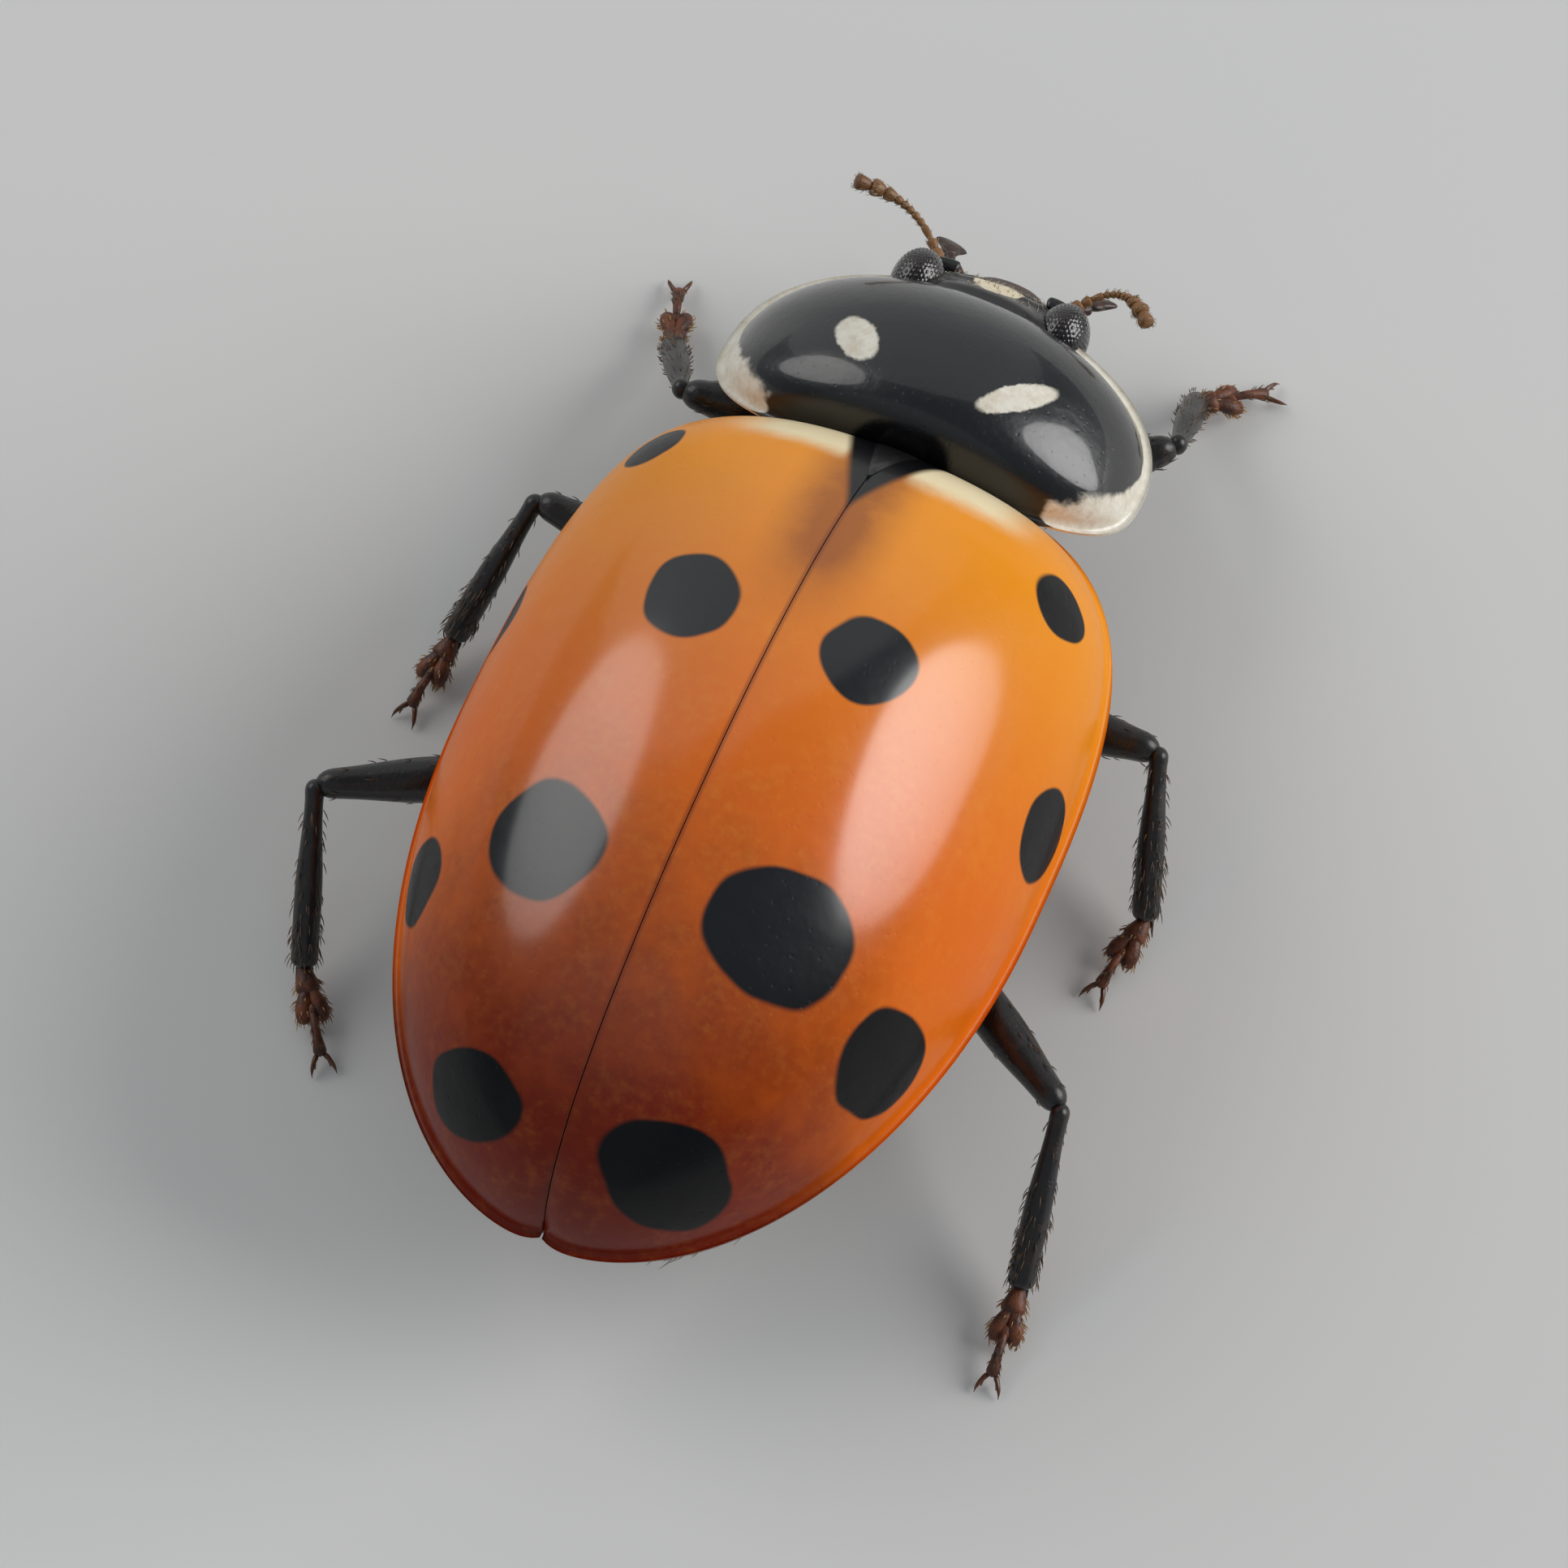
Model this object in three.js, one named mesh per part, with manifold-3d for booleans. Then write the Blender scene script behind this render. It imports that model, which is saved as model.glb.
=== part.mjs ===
// A convergent ladybird, Hippodamia convergens, standing on its six feet.
// Millimetres. X runs to the animal's left, Y to its rear and Z up.
// While the pieces are made, Y = 0 is the base of the wing cases; the last lines centre the animal.
import * as THREE from 'three';
import { mergeVertices } from 'three/addons/utils/BufferGeometryUtils.js';
import Module from 'manifold-3d';

const wasm = await Module();
wasm.setup();

// Wing cases (elytra)
const elytraLength = 4.95;
const elytraHalfWidth = 1.71;
const elytraRise = 1.62; // from their rim to the crest of the dome
const elytronWall = 0.5;
const rimHeight = 1.0; // of the rim above the ground
const widestShare = 0.44; // of the elytra's length, where they are widest

// Pronotum, the shield behind the head
const pronotumLength = 1.34;
const pronotumHalfWidth = 1.27;
const pronotumRear = 0.08;
const pronotumDroop = 0.3; // of its side margins below its middle line

// Body under the plates
const bellyDepth = 0.5; // below the rim
const waist = 1.98; // where the thorax ends and the abdomen starts
const headRadii = [0.56, 0.46, 0.4];
const headCentre = [0, -1.14, 0.95];
const headTilt = 0.45; // radians, face down

// On the head, those of the left side
const eyeCentre = [0.44, -1.26, 1.0];
const eyeRadii = [0.19, 0.22, 0.235];
const eyeTilt = 0.3;
const feelerRoot = [0.38, -1.46, 0.9];
const feelerTips = { left: [1.0, -1.76, 1.0], right: [0.9, -1.64, 1.02] };
const feelerRadii = [0.22, 0.22, 0.25];
const palpRoot = [0.26, -1.45, 0.6];
const palpTip = [0.5, -1.74, 0.42];
const palpRadii = [0.2, 0.22, 0.24];
const mouthCentre = [0, -1.5, 0.62];
const mouthRadii = [0.27, 0.2, 0.24];
const mouthTilt = 0.2;

// Legs
const kneeHeight = 0.75;
const ankleHeight = 0.3;
const footHeight = 0.2; // of the tarsus's middle line
const hipHeight = 0.5;
const legRadius = 0.25;
const socketShare = 0.14; // of a tibia's length, from the knee to where its own ball end is centred

const seam = 0.03; // gap between two plates that meet

// ---------------------------------------------------------------- solids

function solidFrom(geometry) {
  const bare = geometry.clone();
  bare.deleteAttribute('normal');
  bare.deleteAttribute('uv');
  const merged = mergeVertices(bare, 1e-5);
  const corners = merged.index.array;
  const kept = [];
  for (let i = 0; i < corners.length; i += 3) {
    const [a, b, c] = corners.subarray(i, i + 3);
    if (a !== b && b !== c && c !== a) kept.push(a, b, c);
  }
  const mesh = new wasm.Mesh({
    numProp: 3,
    vertProperties: new Float32Array(merged.attributes.position.array),
    triVerts: new Uint32Array(kept),
  });
  return new wasm.Manifold(mesh);
}

function geometryOf(solid) {
  const mesh = solid.getMesh();
  const geometry = new THREE.BufferGeometry();
  geometry.setAttribute('position', new THREE.BufferAttribute(mesh.vertProperties, 3));
  geometry.setIndex(new THREE.BufferAttribute(mesh.triVerts, 1));
  geometry.computeVertexNormals();
  return geometry;
}

const cutBy = (solid, ...others) => others.reduce((rest, other) => rest.subtract(other), solid);
const joined = (solids) => solids.reduce((sum, solid) => sum.add(solid));
const rounded = (value, power) => Math.sign(value) * Math.abs(value) ** power;

// A closed body drawn along Y. At each share of its length its section is a superellipse,
// `up` high above its axis and `down` deep below it.
function lofted({ front, rear, halfWidth, up, down, axis, droop = 0, fullness = 2, around, along }) {
  const geometry = new THREE.SphereGeometry(1, around, along);
  const spots = geometry.attributes.position;
  for (let i = 0; i < spots.count; i += 1) {
    const share = (1 + spots.getY(i)) / 2;
    const turn = Math.atan2(spots.getZ(i), spots.getX(i));
    const x = halfWidth(share) * rounded(Math.cos(turn), 2 / fullness);
    const side = turn > 0 ? up(share) : down(share);
    const sag = droop * (x / halfWidth(0.5)) ** 2;
    const z = axis(share) + side * rounded(Math.sin(turn), 2 / fullness) - sag;
    spots.setXYZ(i, x, front + share * (rear - front), z);
  }
  return solidFrom(geometry);
}

function ellipsoid(centre, radii, tilt = 0, around = 16, along = 12) {
  const geometry = new THREE.SphereGeometry(1, around, along);
  geometry.scale(...radii);
  geometry.rotateX(tilt);
  geometry.translate(...centre);
  return solidFrom(geometry);
}

function block(low, high) {
  const size = high.map((value, i) => value - low[i]);
  const geometry = new THREE.BoxGeometry(...size);
  geometry.translate(...low.map((value, i) => value + size[i] / 2));
  return solidFrom(geometry);
}

// A limb segment with ball ends, thick in its middle as its muscle needs.
function segment(start, end, radii, grow = 0, around = 9) {
  const [first, middle, last] = radii.map((radius) => radius + grow);
  const length = start.distanceTo(end);
  const steps = 2;
  const profile = [];
  for (let i = 0; i <= steps; i += 1) {
    const angle = (i / steps) * (Math.PI / 2);
    profile.push(new THREE.Vector2(first * Math.sin(angle), -first * Math.cos(angle)));
  }
  profile.push(new THREE.Vector2(middle, length / 2));
  for (let i = 0; i <= steps; i += 1) {
    const angle = (i / steps) * (Math.PI / 2);
    profile.push(new THREE.Vector2(last * Math.cos(angle), length + last * Math.sin(angle)));
  }
  profile[0].x = 0;
  profile[profile.length - 1].x = 0;
  const geometry = new THREE.LatheGeometry(profile, around);
  const heading = end.clone().sub(start).normalize();
  const turn = new THREE.Quaternion().setFromUnitVectors(new THREE.Vector3(0, 1, 0), heading);
  geometry.applyQuaternion(turn);
  geometry.translate(start.x, start.y, start.z);
  return solidFrom(geometry);
}

// ---------------------------------------------------------------- wing cases

const frontPole = widestShare * (1 - 1 / 0.96); // the outline would close just ahead of the base

// Shares of the largest width and height, at a share of the elytra's length.
function elytraOutline(share) {
  const t = frontPole + (1 - frontPole) * share;
  if (t > widestShare) {
    const s = (t - widestShare) / (1 - widestShare);
    return Math.sqrt(Math.max(0, 1 - s ** 2));
  }
  const s = (0.96 * (widestShare - t)) / widestShare;
  return Math.max(0, 1 - s ** 3) ** (1 / 3.5);
}

function elytraCrest(share) {
  const t = frontPole + (1 - frontPole) * share;
  if (t > widestShare) {
    const s = (t - widestShare) / (1 - widestShare);
    return Math.max(0, 1 - s ** 2.1) ** (1 / 1.85);
  }
  const s = (0.96 * (widestShare - t)) / widestShare;
  return Math.max(0, 1 - s ** 2) ** (1 / 2.1);
}

// The rim rises a little to the shoulders and to the tip.
const rimAt = (share) => rimHeight + 0.4 * (share - 0.45) ** 2;

function wingCases(inset, down, around, along) {
  return lofted({
    front: frontPole * elytraLength,
    rear: elytraLength - inset,
    halfWidth: (share) => (elytraHalfWidth - inset) * elytraOutline(share),
    up: (share) => (elytraRise - inset) * elytraCrest(share),
    down,
    axis: rimAt,
    fullness: 2.05,
    around,
    along,
  });
}

const bluntEnds = (share) => (1 - Math.abs(2 * share - 1) ** 3) ** (1 / 2.2);
const domeShape = wingCases(0, (share) => 0.08 * bluntEnds(share), 36, 24);
const hollow = wingCases(elytronWall, () => 1.2, 16, 12);

// ---------------------------------------------------------------- pronotum and scutellum

function pronotumShape(grow = 0) {
  const widest = 0.62;
  const sides = (share) => {
    const s = share < widest ? (widest - share) / widest : (share - widest) / (1 - widest);
    return share < widest ? (1 - s ** 2.4) ** (1 / 2.2) : (1 - s ** 3) ** (1 / 2.4);
  };
  const arch = (share) => {
    const s = Math.abs(2 * share - 1);
    return (1 - s ** (share < 0.5 ? 2.2 : 5)) ** 0.5;
  };
  return lofted({
    front: pronotumRear - pronotumLength - grow,
    rear: pronotumRear + grow,
    halfWidth: (share) => (pronotumHalfWidth + grow) * sides(share),
    up: (share) => (0.5 + grow) * arch(share),
    down: (share) => (0.14 + grow) * arch(share),
    axis: (share) => 1.1 + 0.35 * share,
    droop: pronotumDroop,
    fullness: 2.1,
    around: 24,
    along: 12,
  });
}

function scutellumPrism(grow = 0) {
  const halfBase = 0.2 + grow;
  const tip = 0.42 + grow;
  const outline = new THREE.Shape();
  outline.moveTo(-halfBase, -0.15);
  outline.lineTo(halfBase, -0.15);
  outline.quadraticCurveTo(halfBase * 0.75, tip * 0.5, 0, tip);
  outline.quadraticCurveTo(-halfBase * 0.75, tip * 0.5, -halfBase, -0.15);
  const geometry = new THREE.ExtrudeGeometry(outline, { depth: 1.2, bevelEnabled: false, curveSegments: 5 });
  geometry.translate(0, 0, 1.5 - grow);
  return solidFrom(geometry);
}

const pronotum = pronotumShape();
const pronotumRoom = pronotumShape(seam);

// ---------------------------------------------------------------- head

const onSide = (side, [x, y, z]) => [side * x, y, z];
const pointOn = (side, place) => new THREE.Vector3(...onSide(side, place));
const grown = (radii, grow) => radii.map((radius) => radius + grow);

function headShape(grow = 0) {
  return ellipsoid(headCentre, grown(headRadii, grow), headTilt, 16, 10);
}

function eyeShape(side, grow = 0) {
  return ellipsoid(onSide(side, eyeCentre), grown(eyeRadii, grow), eyeTilt, 10, 8);
}

function antennaShape(side, grow = 0) {
  const tip = side > 0 ? feelerTips.left : feelerTips.right;
  return segment(pointOn(side, feelerRoot), pointOn(side, tip), feelerRadii, grow, 8);
}

function palpShape(side, grow = 0) {
  return segment(pointOn(side, palpRoot), pointOn(side, palpTip), palpRadii, grow, 8);
}

function mouthShape(grow = 0) {
  return ellipsoid(mouthCentre, grown(mouthRadii, grow), mouthTilt, 10, 6);
}

// ---------------------------------------------------------------- legs

// The hip is where the femur leaves the coxa. Lengths are those of the segments themselves.
const build = {
  front: { hip: [0.45, -0.4], femur: 1.05, tibia: 0.85, tarsus: 0.4 },
  middle: { hip: [0.62, 0.8], femur: 1.32, tibia: 0.98, tarsus: 0.4 },
  hind: { hip: [0.72, 1.95], femur: 1.85, tibia: 1.05, tarsus: 0.45 },
};

// Headings in degrees in plan, from straight out to the side, forward positive.
const stance = {
  left: {
    front: { femur: -12, tibia: 60, tarsus: 70 },
    middle: { femur: 2, tibia: -73, tarsus: -80 },
    hind: { femur: -29, tibia: -108, tarsus: -125 },
  },
  right: {
    front: { femur: 35, tibia: 100, tarsus: 40 },
    middle: { femur: 0, tibia: -72, tarsus: -103 },
    hind: { femur: -34, tibia: -82, tarsus: -85 },
  },
};

function reach(start, length, heading, side, height) {
  const rise = height - start.z;
  const plan = Math.sqrt(length ** 2 - rise ** 2);
  const angle = THREE.MathUtils.degToRad(heading);
  const out = side * plan * Math.cos(angle);
  return new THREE.Vector3(start.x + out, start.y - plan * Math.sin(angle), height);
}

const floorBlock = block([-6, -6, -2], [6, 8, 0]);
const limbs = [];
for (const [sideName, pairs] of Object.entries(stance)) {
  const side = sideName === 'left' ? 1 : -1;
  for (const [pairName, headings] of Object.entries(pairs)) {
    const lengths = build[pairName];
    const hip = pointOn(side, [...lengths.hip, hipHeight]);
    const knee = reach(hip, lengths.femur, headings.femur, side, kneeHeight);
    const ankle = reach(knee, lengths.tibia, headings.tibia, side, ankleHeight);
    const toe = reach(ankle, lengths.tarsus, headings.tarsus, side, footHeight);
    const thigh = [legRadius + 0.02, legRadius + 0.03, legRadius];
    const shin = [legRadius, legRadius, legRadius];
    const femurRoom = segment(hip, knee, thigh, seam);
    const tibiaStart = knee.clone().lerp(ankle, socketShare);
    const tibia = segment(tibiaStart, ankle, shin);
    const tarsusStart = ankle.clone().lerp(toe, 2 * socketShare);
    const foot = segment(tarsusStart, toe, shin);
    limbs.push({
      name: `${pairName}_${sideName}`,
      pair: pairName,
      coxa: ellipsoid([hip.x * 0.72, hip.y, hip.z + 0.06], [0.34, 0.26, 0.26], 0, 8, 5),
      femurRoom,
      femur: segment(hip, knee, thigh),
      tibia: cutBy(tibia, femurRoom),
      tarsus: cutBy(foot, segment(tibiaStart, ankle, shin, seam), floorBlock),
    });
  }
}

const limbsOf = (pair) => limbs.filter((limb) => limb.pair === pair);
const rooms = limbs.map((limb) => limb.femurRoom);

// ---------------------------------------------------------------- body

const trunk = wingCases(elytronWall + seam, (share) => bellyDepth * bluntEnds(share), 16, 14);
const beforeWaist = block([-4, -4, -1], [4, waist, 4]);
const behindWaist = block([-4, waist + seam, -1], [4, 8, 4]);

const prothorax = lofted({
  front: -1.02,
  rear: -0.1,
  halfWidth: (share) => 0.95 * bluntEnds(share),
  up: (share) => 0.5 * bluntEnds(share),
  down: (share) => 0.4 * bluntEnds(share),
  axis: () => 0.93,
  fullness: 2.4,
  around: 16,
  along: 7,
});

const scutellum = cutBy(domeShape.intersect(scutellumPrism()), pronotumRoom);
const shell = cutBy(domeShape, hollow, scutellumPrism(seam), pronotumRoom);
const sideBlock = (side) => {
  const [low, high] = side > 0 ? [-4, seam / 2] : [-seam / 2, 4];
  return block([low, -2, -1], [high, 8, 4]);
};

const headRoom = headShape(seam);
const eyeRooms = [1, -1].map((side) => eyeShape(side, seam));
const head = cutBy(headShape(), pronotumRoom, ...eyeRooms);
const antennaRooms = [1, -1].map((side) => antennaShape(side, seam));
const mouth = cutBy(mouthShape(), headRoom);

const thoraxCoxae = [...limbsOf('middle'), ...limbsOf('hind')].map((limb) => limb.coxa);
const thorax = cutBy(
  joined([trunk.intersect(beforeWaist), ...thoraxCoxae.map((coxa) => coxa.intersect(beforeWaist))]),
  scutellumPrism(seam),
  pronotumRoom,
  ...rooms,
);
const neckBlock = block([-4, -0.13, -1], [4, 8, 4]);

// ---------------------------------------------------------------- the animal

const black = { color: 0x0a0a0c, roughness: 0.25, metalness: 0 };
const orange = { color: 0xe2620c, roughness: 0.2, metalness: 0 };
const eyeBlack = { color: 0x050506, roughness: 0.15, metalness: 0 };
const brown = { color: 0x6b3a1a, roughness: 0.4, metalness: 0 };

const animal = new THREE.Group();
function addPart(name, solid, finish) {
  const part = new THREE.Mesh(geometryOf(solid), new THREE.MeshStandardMaterial(finish));
  part.name = name;
  animal.add(part);
}

addPart('elytron_left', cutBy(shell, sideBlock(1)), orange);
addPart('elytron_right', cutBy(shell, sideBlock(-1)), orange);
addPart('scutellum', scutellum, black);
addPart('pronotum', pronotum, black);
addPart('prothorax', cutBy(
  joined([prothorax, ...limbsOf('front').map((limb) => limb.coxa)]),
  pronotumRoom, headRoom, neckBlock, ...rooms,
), black);
addPart('thorax', thorax, black);
addPart('abdomen', cutBy(trunk.intersect(behindWaist), ...rooms), black);
addPart('head', head, black);
addPart('mouthparts', mouth, black);
for (const [sideName, side] of [['left', 1], ['right', -1]]) {
  addPart(`eye_${sideName}`, cutBy(eyeShape(side), pronotumRoom, ...antennaRooms), eyeBlack);
  addPart(`antenna_${sideName}`, cutBy(antennaShape(side), headRoom), brown);
  addPart(`palp_${sideName}`, cutBy(palpShape(side), headRoom, mouthShape(seam)), brown);
}
for (const limb of limbs) {
  addPart(`femur_${limb.name}`, limb.femur, black);
  addPart(`tibia_${limb.name}`, limb.tibia, black);
  addPart(`tarsus_${limb.name}`, limb.tarsus, brown);
}

// The origin goes on the ground, in the middle plane, half way from the foremost to the rearmost point.
const box = new THREE.Box3().setFromObject(animal);
animal.position.y = -(box.min.y + box.max.y) / 2;

export default animal;
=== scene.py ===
import math
import random

import bmesh
import bpy
from mathutils import Matrix, Vector
from mathutils.kdtree import KDTree


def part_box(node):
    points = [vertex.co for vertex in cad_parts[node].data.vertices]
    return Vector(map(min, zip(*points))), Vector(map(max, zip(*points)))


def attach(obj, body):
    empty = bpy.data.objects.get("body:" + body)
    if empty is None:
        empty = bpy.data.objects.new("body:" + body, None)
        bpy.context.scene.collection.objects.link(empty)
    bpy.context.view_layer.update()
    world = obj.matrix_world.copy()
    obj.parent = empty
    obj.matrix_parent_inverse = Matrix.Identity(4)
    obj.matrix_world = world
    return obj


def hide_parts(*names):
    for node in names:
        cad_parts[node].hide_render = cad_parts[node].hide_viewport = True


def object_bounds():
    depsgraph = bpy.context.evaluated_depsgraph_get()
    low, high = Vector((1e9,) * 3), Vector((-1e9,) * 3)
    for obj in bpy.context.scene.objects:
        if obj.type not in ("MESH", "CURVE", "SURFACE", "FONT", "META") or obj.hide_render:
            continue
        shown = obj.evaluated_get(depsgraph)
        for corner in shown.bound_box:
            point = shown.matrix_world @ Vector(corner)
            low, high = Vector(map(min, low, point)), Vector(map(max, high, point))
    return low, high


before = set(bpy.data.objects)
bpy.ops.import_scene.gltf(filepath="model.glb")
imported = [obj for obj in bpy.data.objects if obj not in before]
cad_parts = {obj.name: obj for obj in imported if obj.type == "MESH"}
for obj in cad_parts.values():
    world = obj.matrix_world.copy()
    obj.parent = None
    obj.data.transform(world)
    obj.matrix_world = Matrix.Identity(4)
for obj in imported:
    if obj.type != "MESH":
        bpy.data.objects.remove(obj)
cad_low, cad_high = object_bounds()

# ---------------------------------------------------------------- stand and studio
# A plain pale floor under the feet, a faint bluish sky all round and four large soft lamps.
# The camera looks down on the wing cases from behind the animal's right side.
half_way = (cad_low + cad_high) / 2

floor_mesh = bmesh.new()
bmesh.ops.create_grid(floor_mesh, x_segments=1, y_segments=1, size=0.6)
floor_data = bpy.data.meshes.new("floor")
floor_mesh.to_mesh(floor_data)
floor_mesh.free()
floor = bpy.data.objects.new("floor", floor_data)
bpy.context.scene.collection.objects.link(floor)
floor_finish = bpy.data.materials.new("pale_floor")
floor_finish.use_nodes = True
floor_shader = floor_finish.node_tree.nodes["Principled BSDF"]
floor_shader.inputs["Base Color"].default_value = (0.74, 0.73, 0.71, 1)
floor_shader.inputs["Roughness"].default_value = 0.8
floor_data.materials.append(floor_finish)

sky = bpy.data.worlds.new("studio")
sky.use_nodes = True
sky.node_tree.nodes["Background"].inputs["Color"].default_value = (0.74, 0.87, 1.0, 1)
sky.node_tree.nodes["Background"].inputs["Strength"].default_value = 0.2
bpy.context.scene.world = sky
bpy.context.scene.view_settings.view_transform = "Standard"


def lamp(name, toward, distance, size, power, colour):
    """A round soft lamp that shines on the middle of the animal from one direction."""
    light = bpy.data.lights.new(name, "AREA")
    light.shape = "DISK"
    light.size = size
    light.energy = power
    light.color = colour
    lamp_object = bpy.data.objects.new(name, light)
    heading = Vector(toward).normalized()
    lamp_object.location = half_way + heading * distance
    lamp_object.rotation_euler = heading.to_track_quat("Z", "Y").to_euler()
    lamp_object.visible_camera = False
    bpy.context.scene.collection.objects.link(lamp_object)


lamp("key_lamp", (-0.79, -0.42, 0.45), 0.15, 0.120, 0.175, (1.0, 0.99, 0.98))
lamp("fill_lamp", (0.80, -0.08, 0.58), 0.20, 0.155, 0.118, (1.0, 0.99, 0.96))
lamp("front_lamp", (0.35, -0.80, 0.50), 0.20, 0.350, 0.105, (1.0, 0.98, 0.95))
lamp("back_lamp", (0.1, 0.9, 0.6), 0.22, 0.350, 0.034, (1.0, 0.97, 0.93))

azimuth = math.radians(205.3)
elevation = math.radians(66.5)
roll = math.radians(-1.8)
back = Vector((
    math.sin(azimuth) * math.cos(elevation),
    -math.cos(azimuth) * math.cos(elevation),
    math.sin(elevation),
))
straight = back.to_track_quat("Z", "Y").to_matrix()
turned = straight @ Matrix.Rotation(roll, 3, "Z")

# ---------------------------------------------------------------- wing cases
# The two wing cases (elytra) are hard glossy domes of chitin, orange with black spots, that meet
# in a straight seam. Each is one shell with a narrow turned-up rim and a strip folded in below it.
widest_share = 0.44  # of their length, where they are widest
front_cut = 0.96  # the base cuts the outline off here, just short of where it would close
front_pole = widest_share * (1 - 1 / front_cut)
case_squareness = 2.05  # 2 is an ellipse in cross-section, and more is squarer
case_low, case_high = (corner * 1000 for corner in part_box("elytron_left"))
case_length = (case_high.y - case_low.y) / (1 - front_pole)
case_half_width = case_high.x
case_rise = 1.62
rim_height = 1.0
case_wall = 0.07
inner_start = 0.04  # where the inner wall starts, as a turn from the rim
seam_gap = 0.003  # from the middle to each wing case
near = 0.004  # a short way along, as a share, to tell a slope by
rim_lip = 0.042
base_line = case_low.y - front_pole * case_length  # millimetres, in the frame

# The camera looks at a point a little left of and below the base of the wing cases, in its view.
view_width = 0.00895  # metres, as the next two
left_of_base = 0.000668
below_base = 0.001217
across_view = turned @ Vector((1, 0, 0))
up_view = turned @ Vector((0, 1, 0))
target = Vector((0, base_line / 1000, 0)) - across_view * left_of_base - up_view * below_base
camera_data = bpy.data.cameras.new("camera")
camera_data.lens = 200
camera_data.sensor_width = 36
camera_distance = view_width * camera_data.lens / camera_data.sensor_width
camera_data.clip_start = camera_distance * 0.1
camera_data.clip_end = camera_distance * 100
camera = bpy.data.objects.new("camera", camera_data)
camera.location = target + back * camera_distance
camera.rotation_mode = "QUATERNION"
camera.rotation_quaternion = turned.to_quaternion()
bpy.context.scene.collection.objects.link(camera)
bpy.context.scene.camera = camera


class Socket:
    """One output of a finish's nodes. Sums and products of sockets add their Math nodes."""

    def __init__(self, tree, output=None):
        self.tree = tree
        self.output = output

    def node(self, kind, settings, inputs, output=0):
        """A node of this kind: its settings first, then a value or a link for each input."""
        made = self.tree.nodes.new("ShaderNode" + kind)
        for name, value in settings.items():
            setattr(made, name, value)
        for slot, value in inputs.items():
            if isinstance(value, Socket):
                self.tree.links.new(value.output, made.inputs[slot])
            else:
                made.inputs[slot].default_value = value
        return Socket(self.tree, made.outputs[output])

    def math(self, operation, *values):
        return self.node("Math", {"operation": operation}, dict(enumerate(values)))

    def __add__(self, other):
        return self.math("ADD", self, other)

    def __sub__(self, other):
        return self.math("SUBTRACT", self, other)

    def __rsub__(self, other):
        return self.math("SUBTRACT", other, self)

    def __mul__(self, other):
        return self.math("MULTIPLY", self, other)

    def __truediv__(self, other):
        return self.math("DIVIDE", self, other)

    __radd__ = __add__
    __rmul__ = __mul__

    def larger(self, other):
        return self.math("MAXIMUM", self, other)

    def smaller(self, other):
        return self.math("MINIMUM", self, other)

    def step(self, start, end):
        """0 before start, 1 after end, and smooth between them."""
        settings = {"interpolation_type": "SMOOTHSTEP", "clamp": True}
        return self.node("MapRange", settings, {0: self, 1: start, 2: end, 3: 0.0, 4: 1.0})

    def part(self, axis):
        return self.node("SeparateXYZ", {}, {0: self}, output="XYZ".index(axis))

    def vector(self, operation, other=(0, 0, 0), output=0):
        return self.node("VectorMath", {"operation": operation}, {0: self, 1: other}, output)

    def noise(self, scale, detail=3.0, roughness=0.55, output=0):
        inputs = {"Vector": self, "Scale": scale, "Detail": detail, "Roughness": roughness}
        return self.node("TexNoise", {}, inputs, output)

    def cells(self, scale):
        return self.node("TexVoronoi", {}, {"Vector": self, "Scale": scale})

    def blend(self, colour, other):
        """Colour where this mask is 0 and the other colour where it is 1."""
        return self.node("Mix", {"data_type": "RGBA"}, {0: self, 6: colour, 7: other}, output=2)

    def bump(self, strength, depth, normal=None):
        inputs = {"Height": self, "Strength": strength, "Distance": depth / 1000}
        if normal:
            inputs["Normal"] = normal
        return self.node("Bump", {}, inputs)


def paint(red, green, blue):
    """A colour as a paint card shows it, 0 to 255, for the nodes."""
    shares = (value / 255 for value in (red, green, blue))
    linear = (s / 12.92 if s < 0.04045 else ((s + 0.055) / 1.055) ** 2.4 for s in shares)
    return (*linear, 1.0)


def new_finish(name, coat=0.0, coat_roughness=0.03):
    """A bare finish under a clear coat, its shader, and the place on the animal in millimetres
    from the base line."""
    finish = bpy.data.materials.new(name)
    finish.use_nodes = True
    shader = finish.node_tree.nodes["Principled BSDF"]
    shader.inputs["Coat Weight"].default_value = coat
    shader.inputs["Coat Roughness"].default_value = coat_roughness
    start = Socket(finish.node_tree)
    metres = start.node("TexCoord", {}, {}, output=3)
    inputs = {"Vector": metres, "Location": (0, -base_line, 0), "Scale": (1000, 1000, 1000)}
    return finish, shader, start.node("Mapping", {"vector_type": "POINT"}, inputs)


def lay(shader, socket_name, socket):
    """Join a socket of the nodes to a socket of the shader."""
    socket.tree.links.new(socket.output, shader.inputs[socket_name])


def set_in_place(mesh, name, finish, nodes, crease=38):
    """Bring a piece shaped in millimetres from the base line into the frame, and hand it over.
    An edge that turns by more than the crease, in degrees, stays sharp."""
    bmesh.ops.scale(mesh, vec=(0.001, 0.001, 0.001), verts=mesh.verts)
    bmesh.ops.translate(mesh, vec=(0, base_line / 1000, 0), verts=mesh.verts)
    mesh.normal_update()
    for face in mesh.faces:
        face.smooth = True
    for edge in mesh.edges:
        if len(edge.link_faces) == 2 and edge.calc_face_angle() > math.radians(crease):
            edge.smooth = False
    data = bpy.data.meshes.new(name)
    mesh.to_mesh(data)
    mesh.free()
    data.materials.append(finish)
    piece = bpy.data.objects.new(name, data)
    bpy.context.scene.collection.objects.link(piece)
    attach(piece, "root")
    if nodes:
        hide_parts(*nodes)


upright = Matrix.Rotation(-math.pi / 2, 4, "X")  # lays a ball's poles along the body


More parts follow.
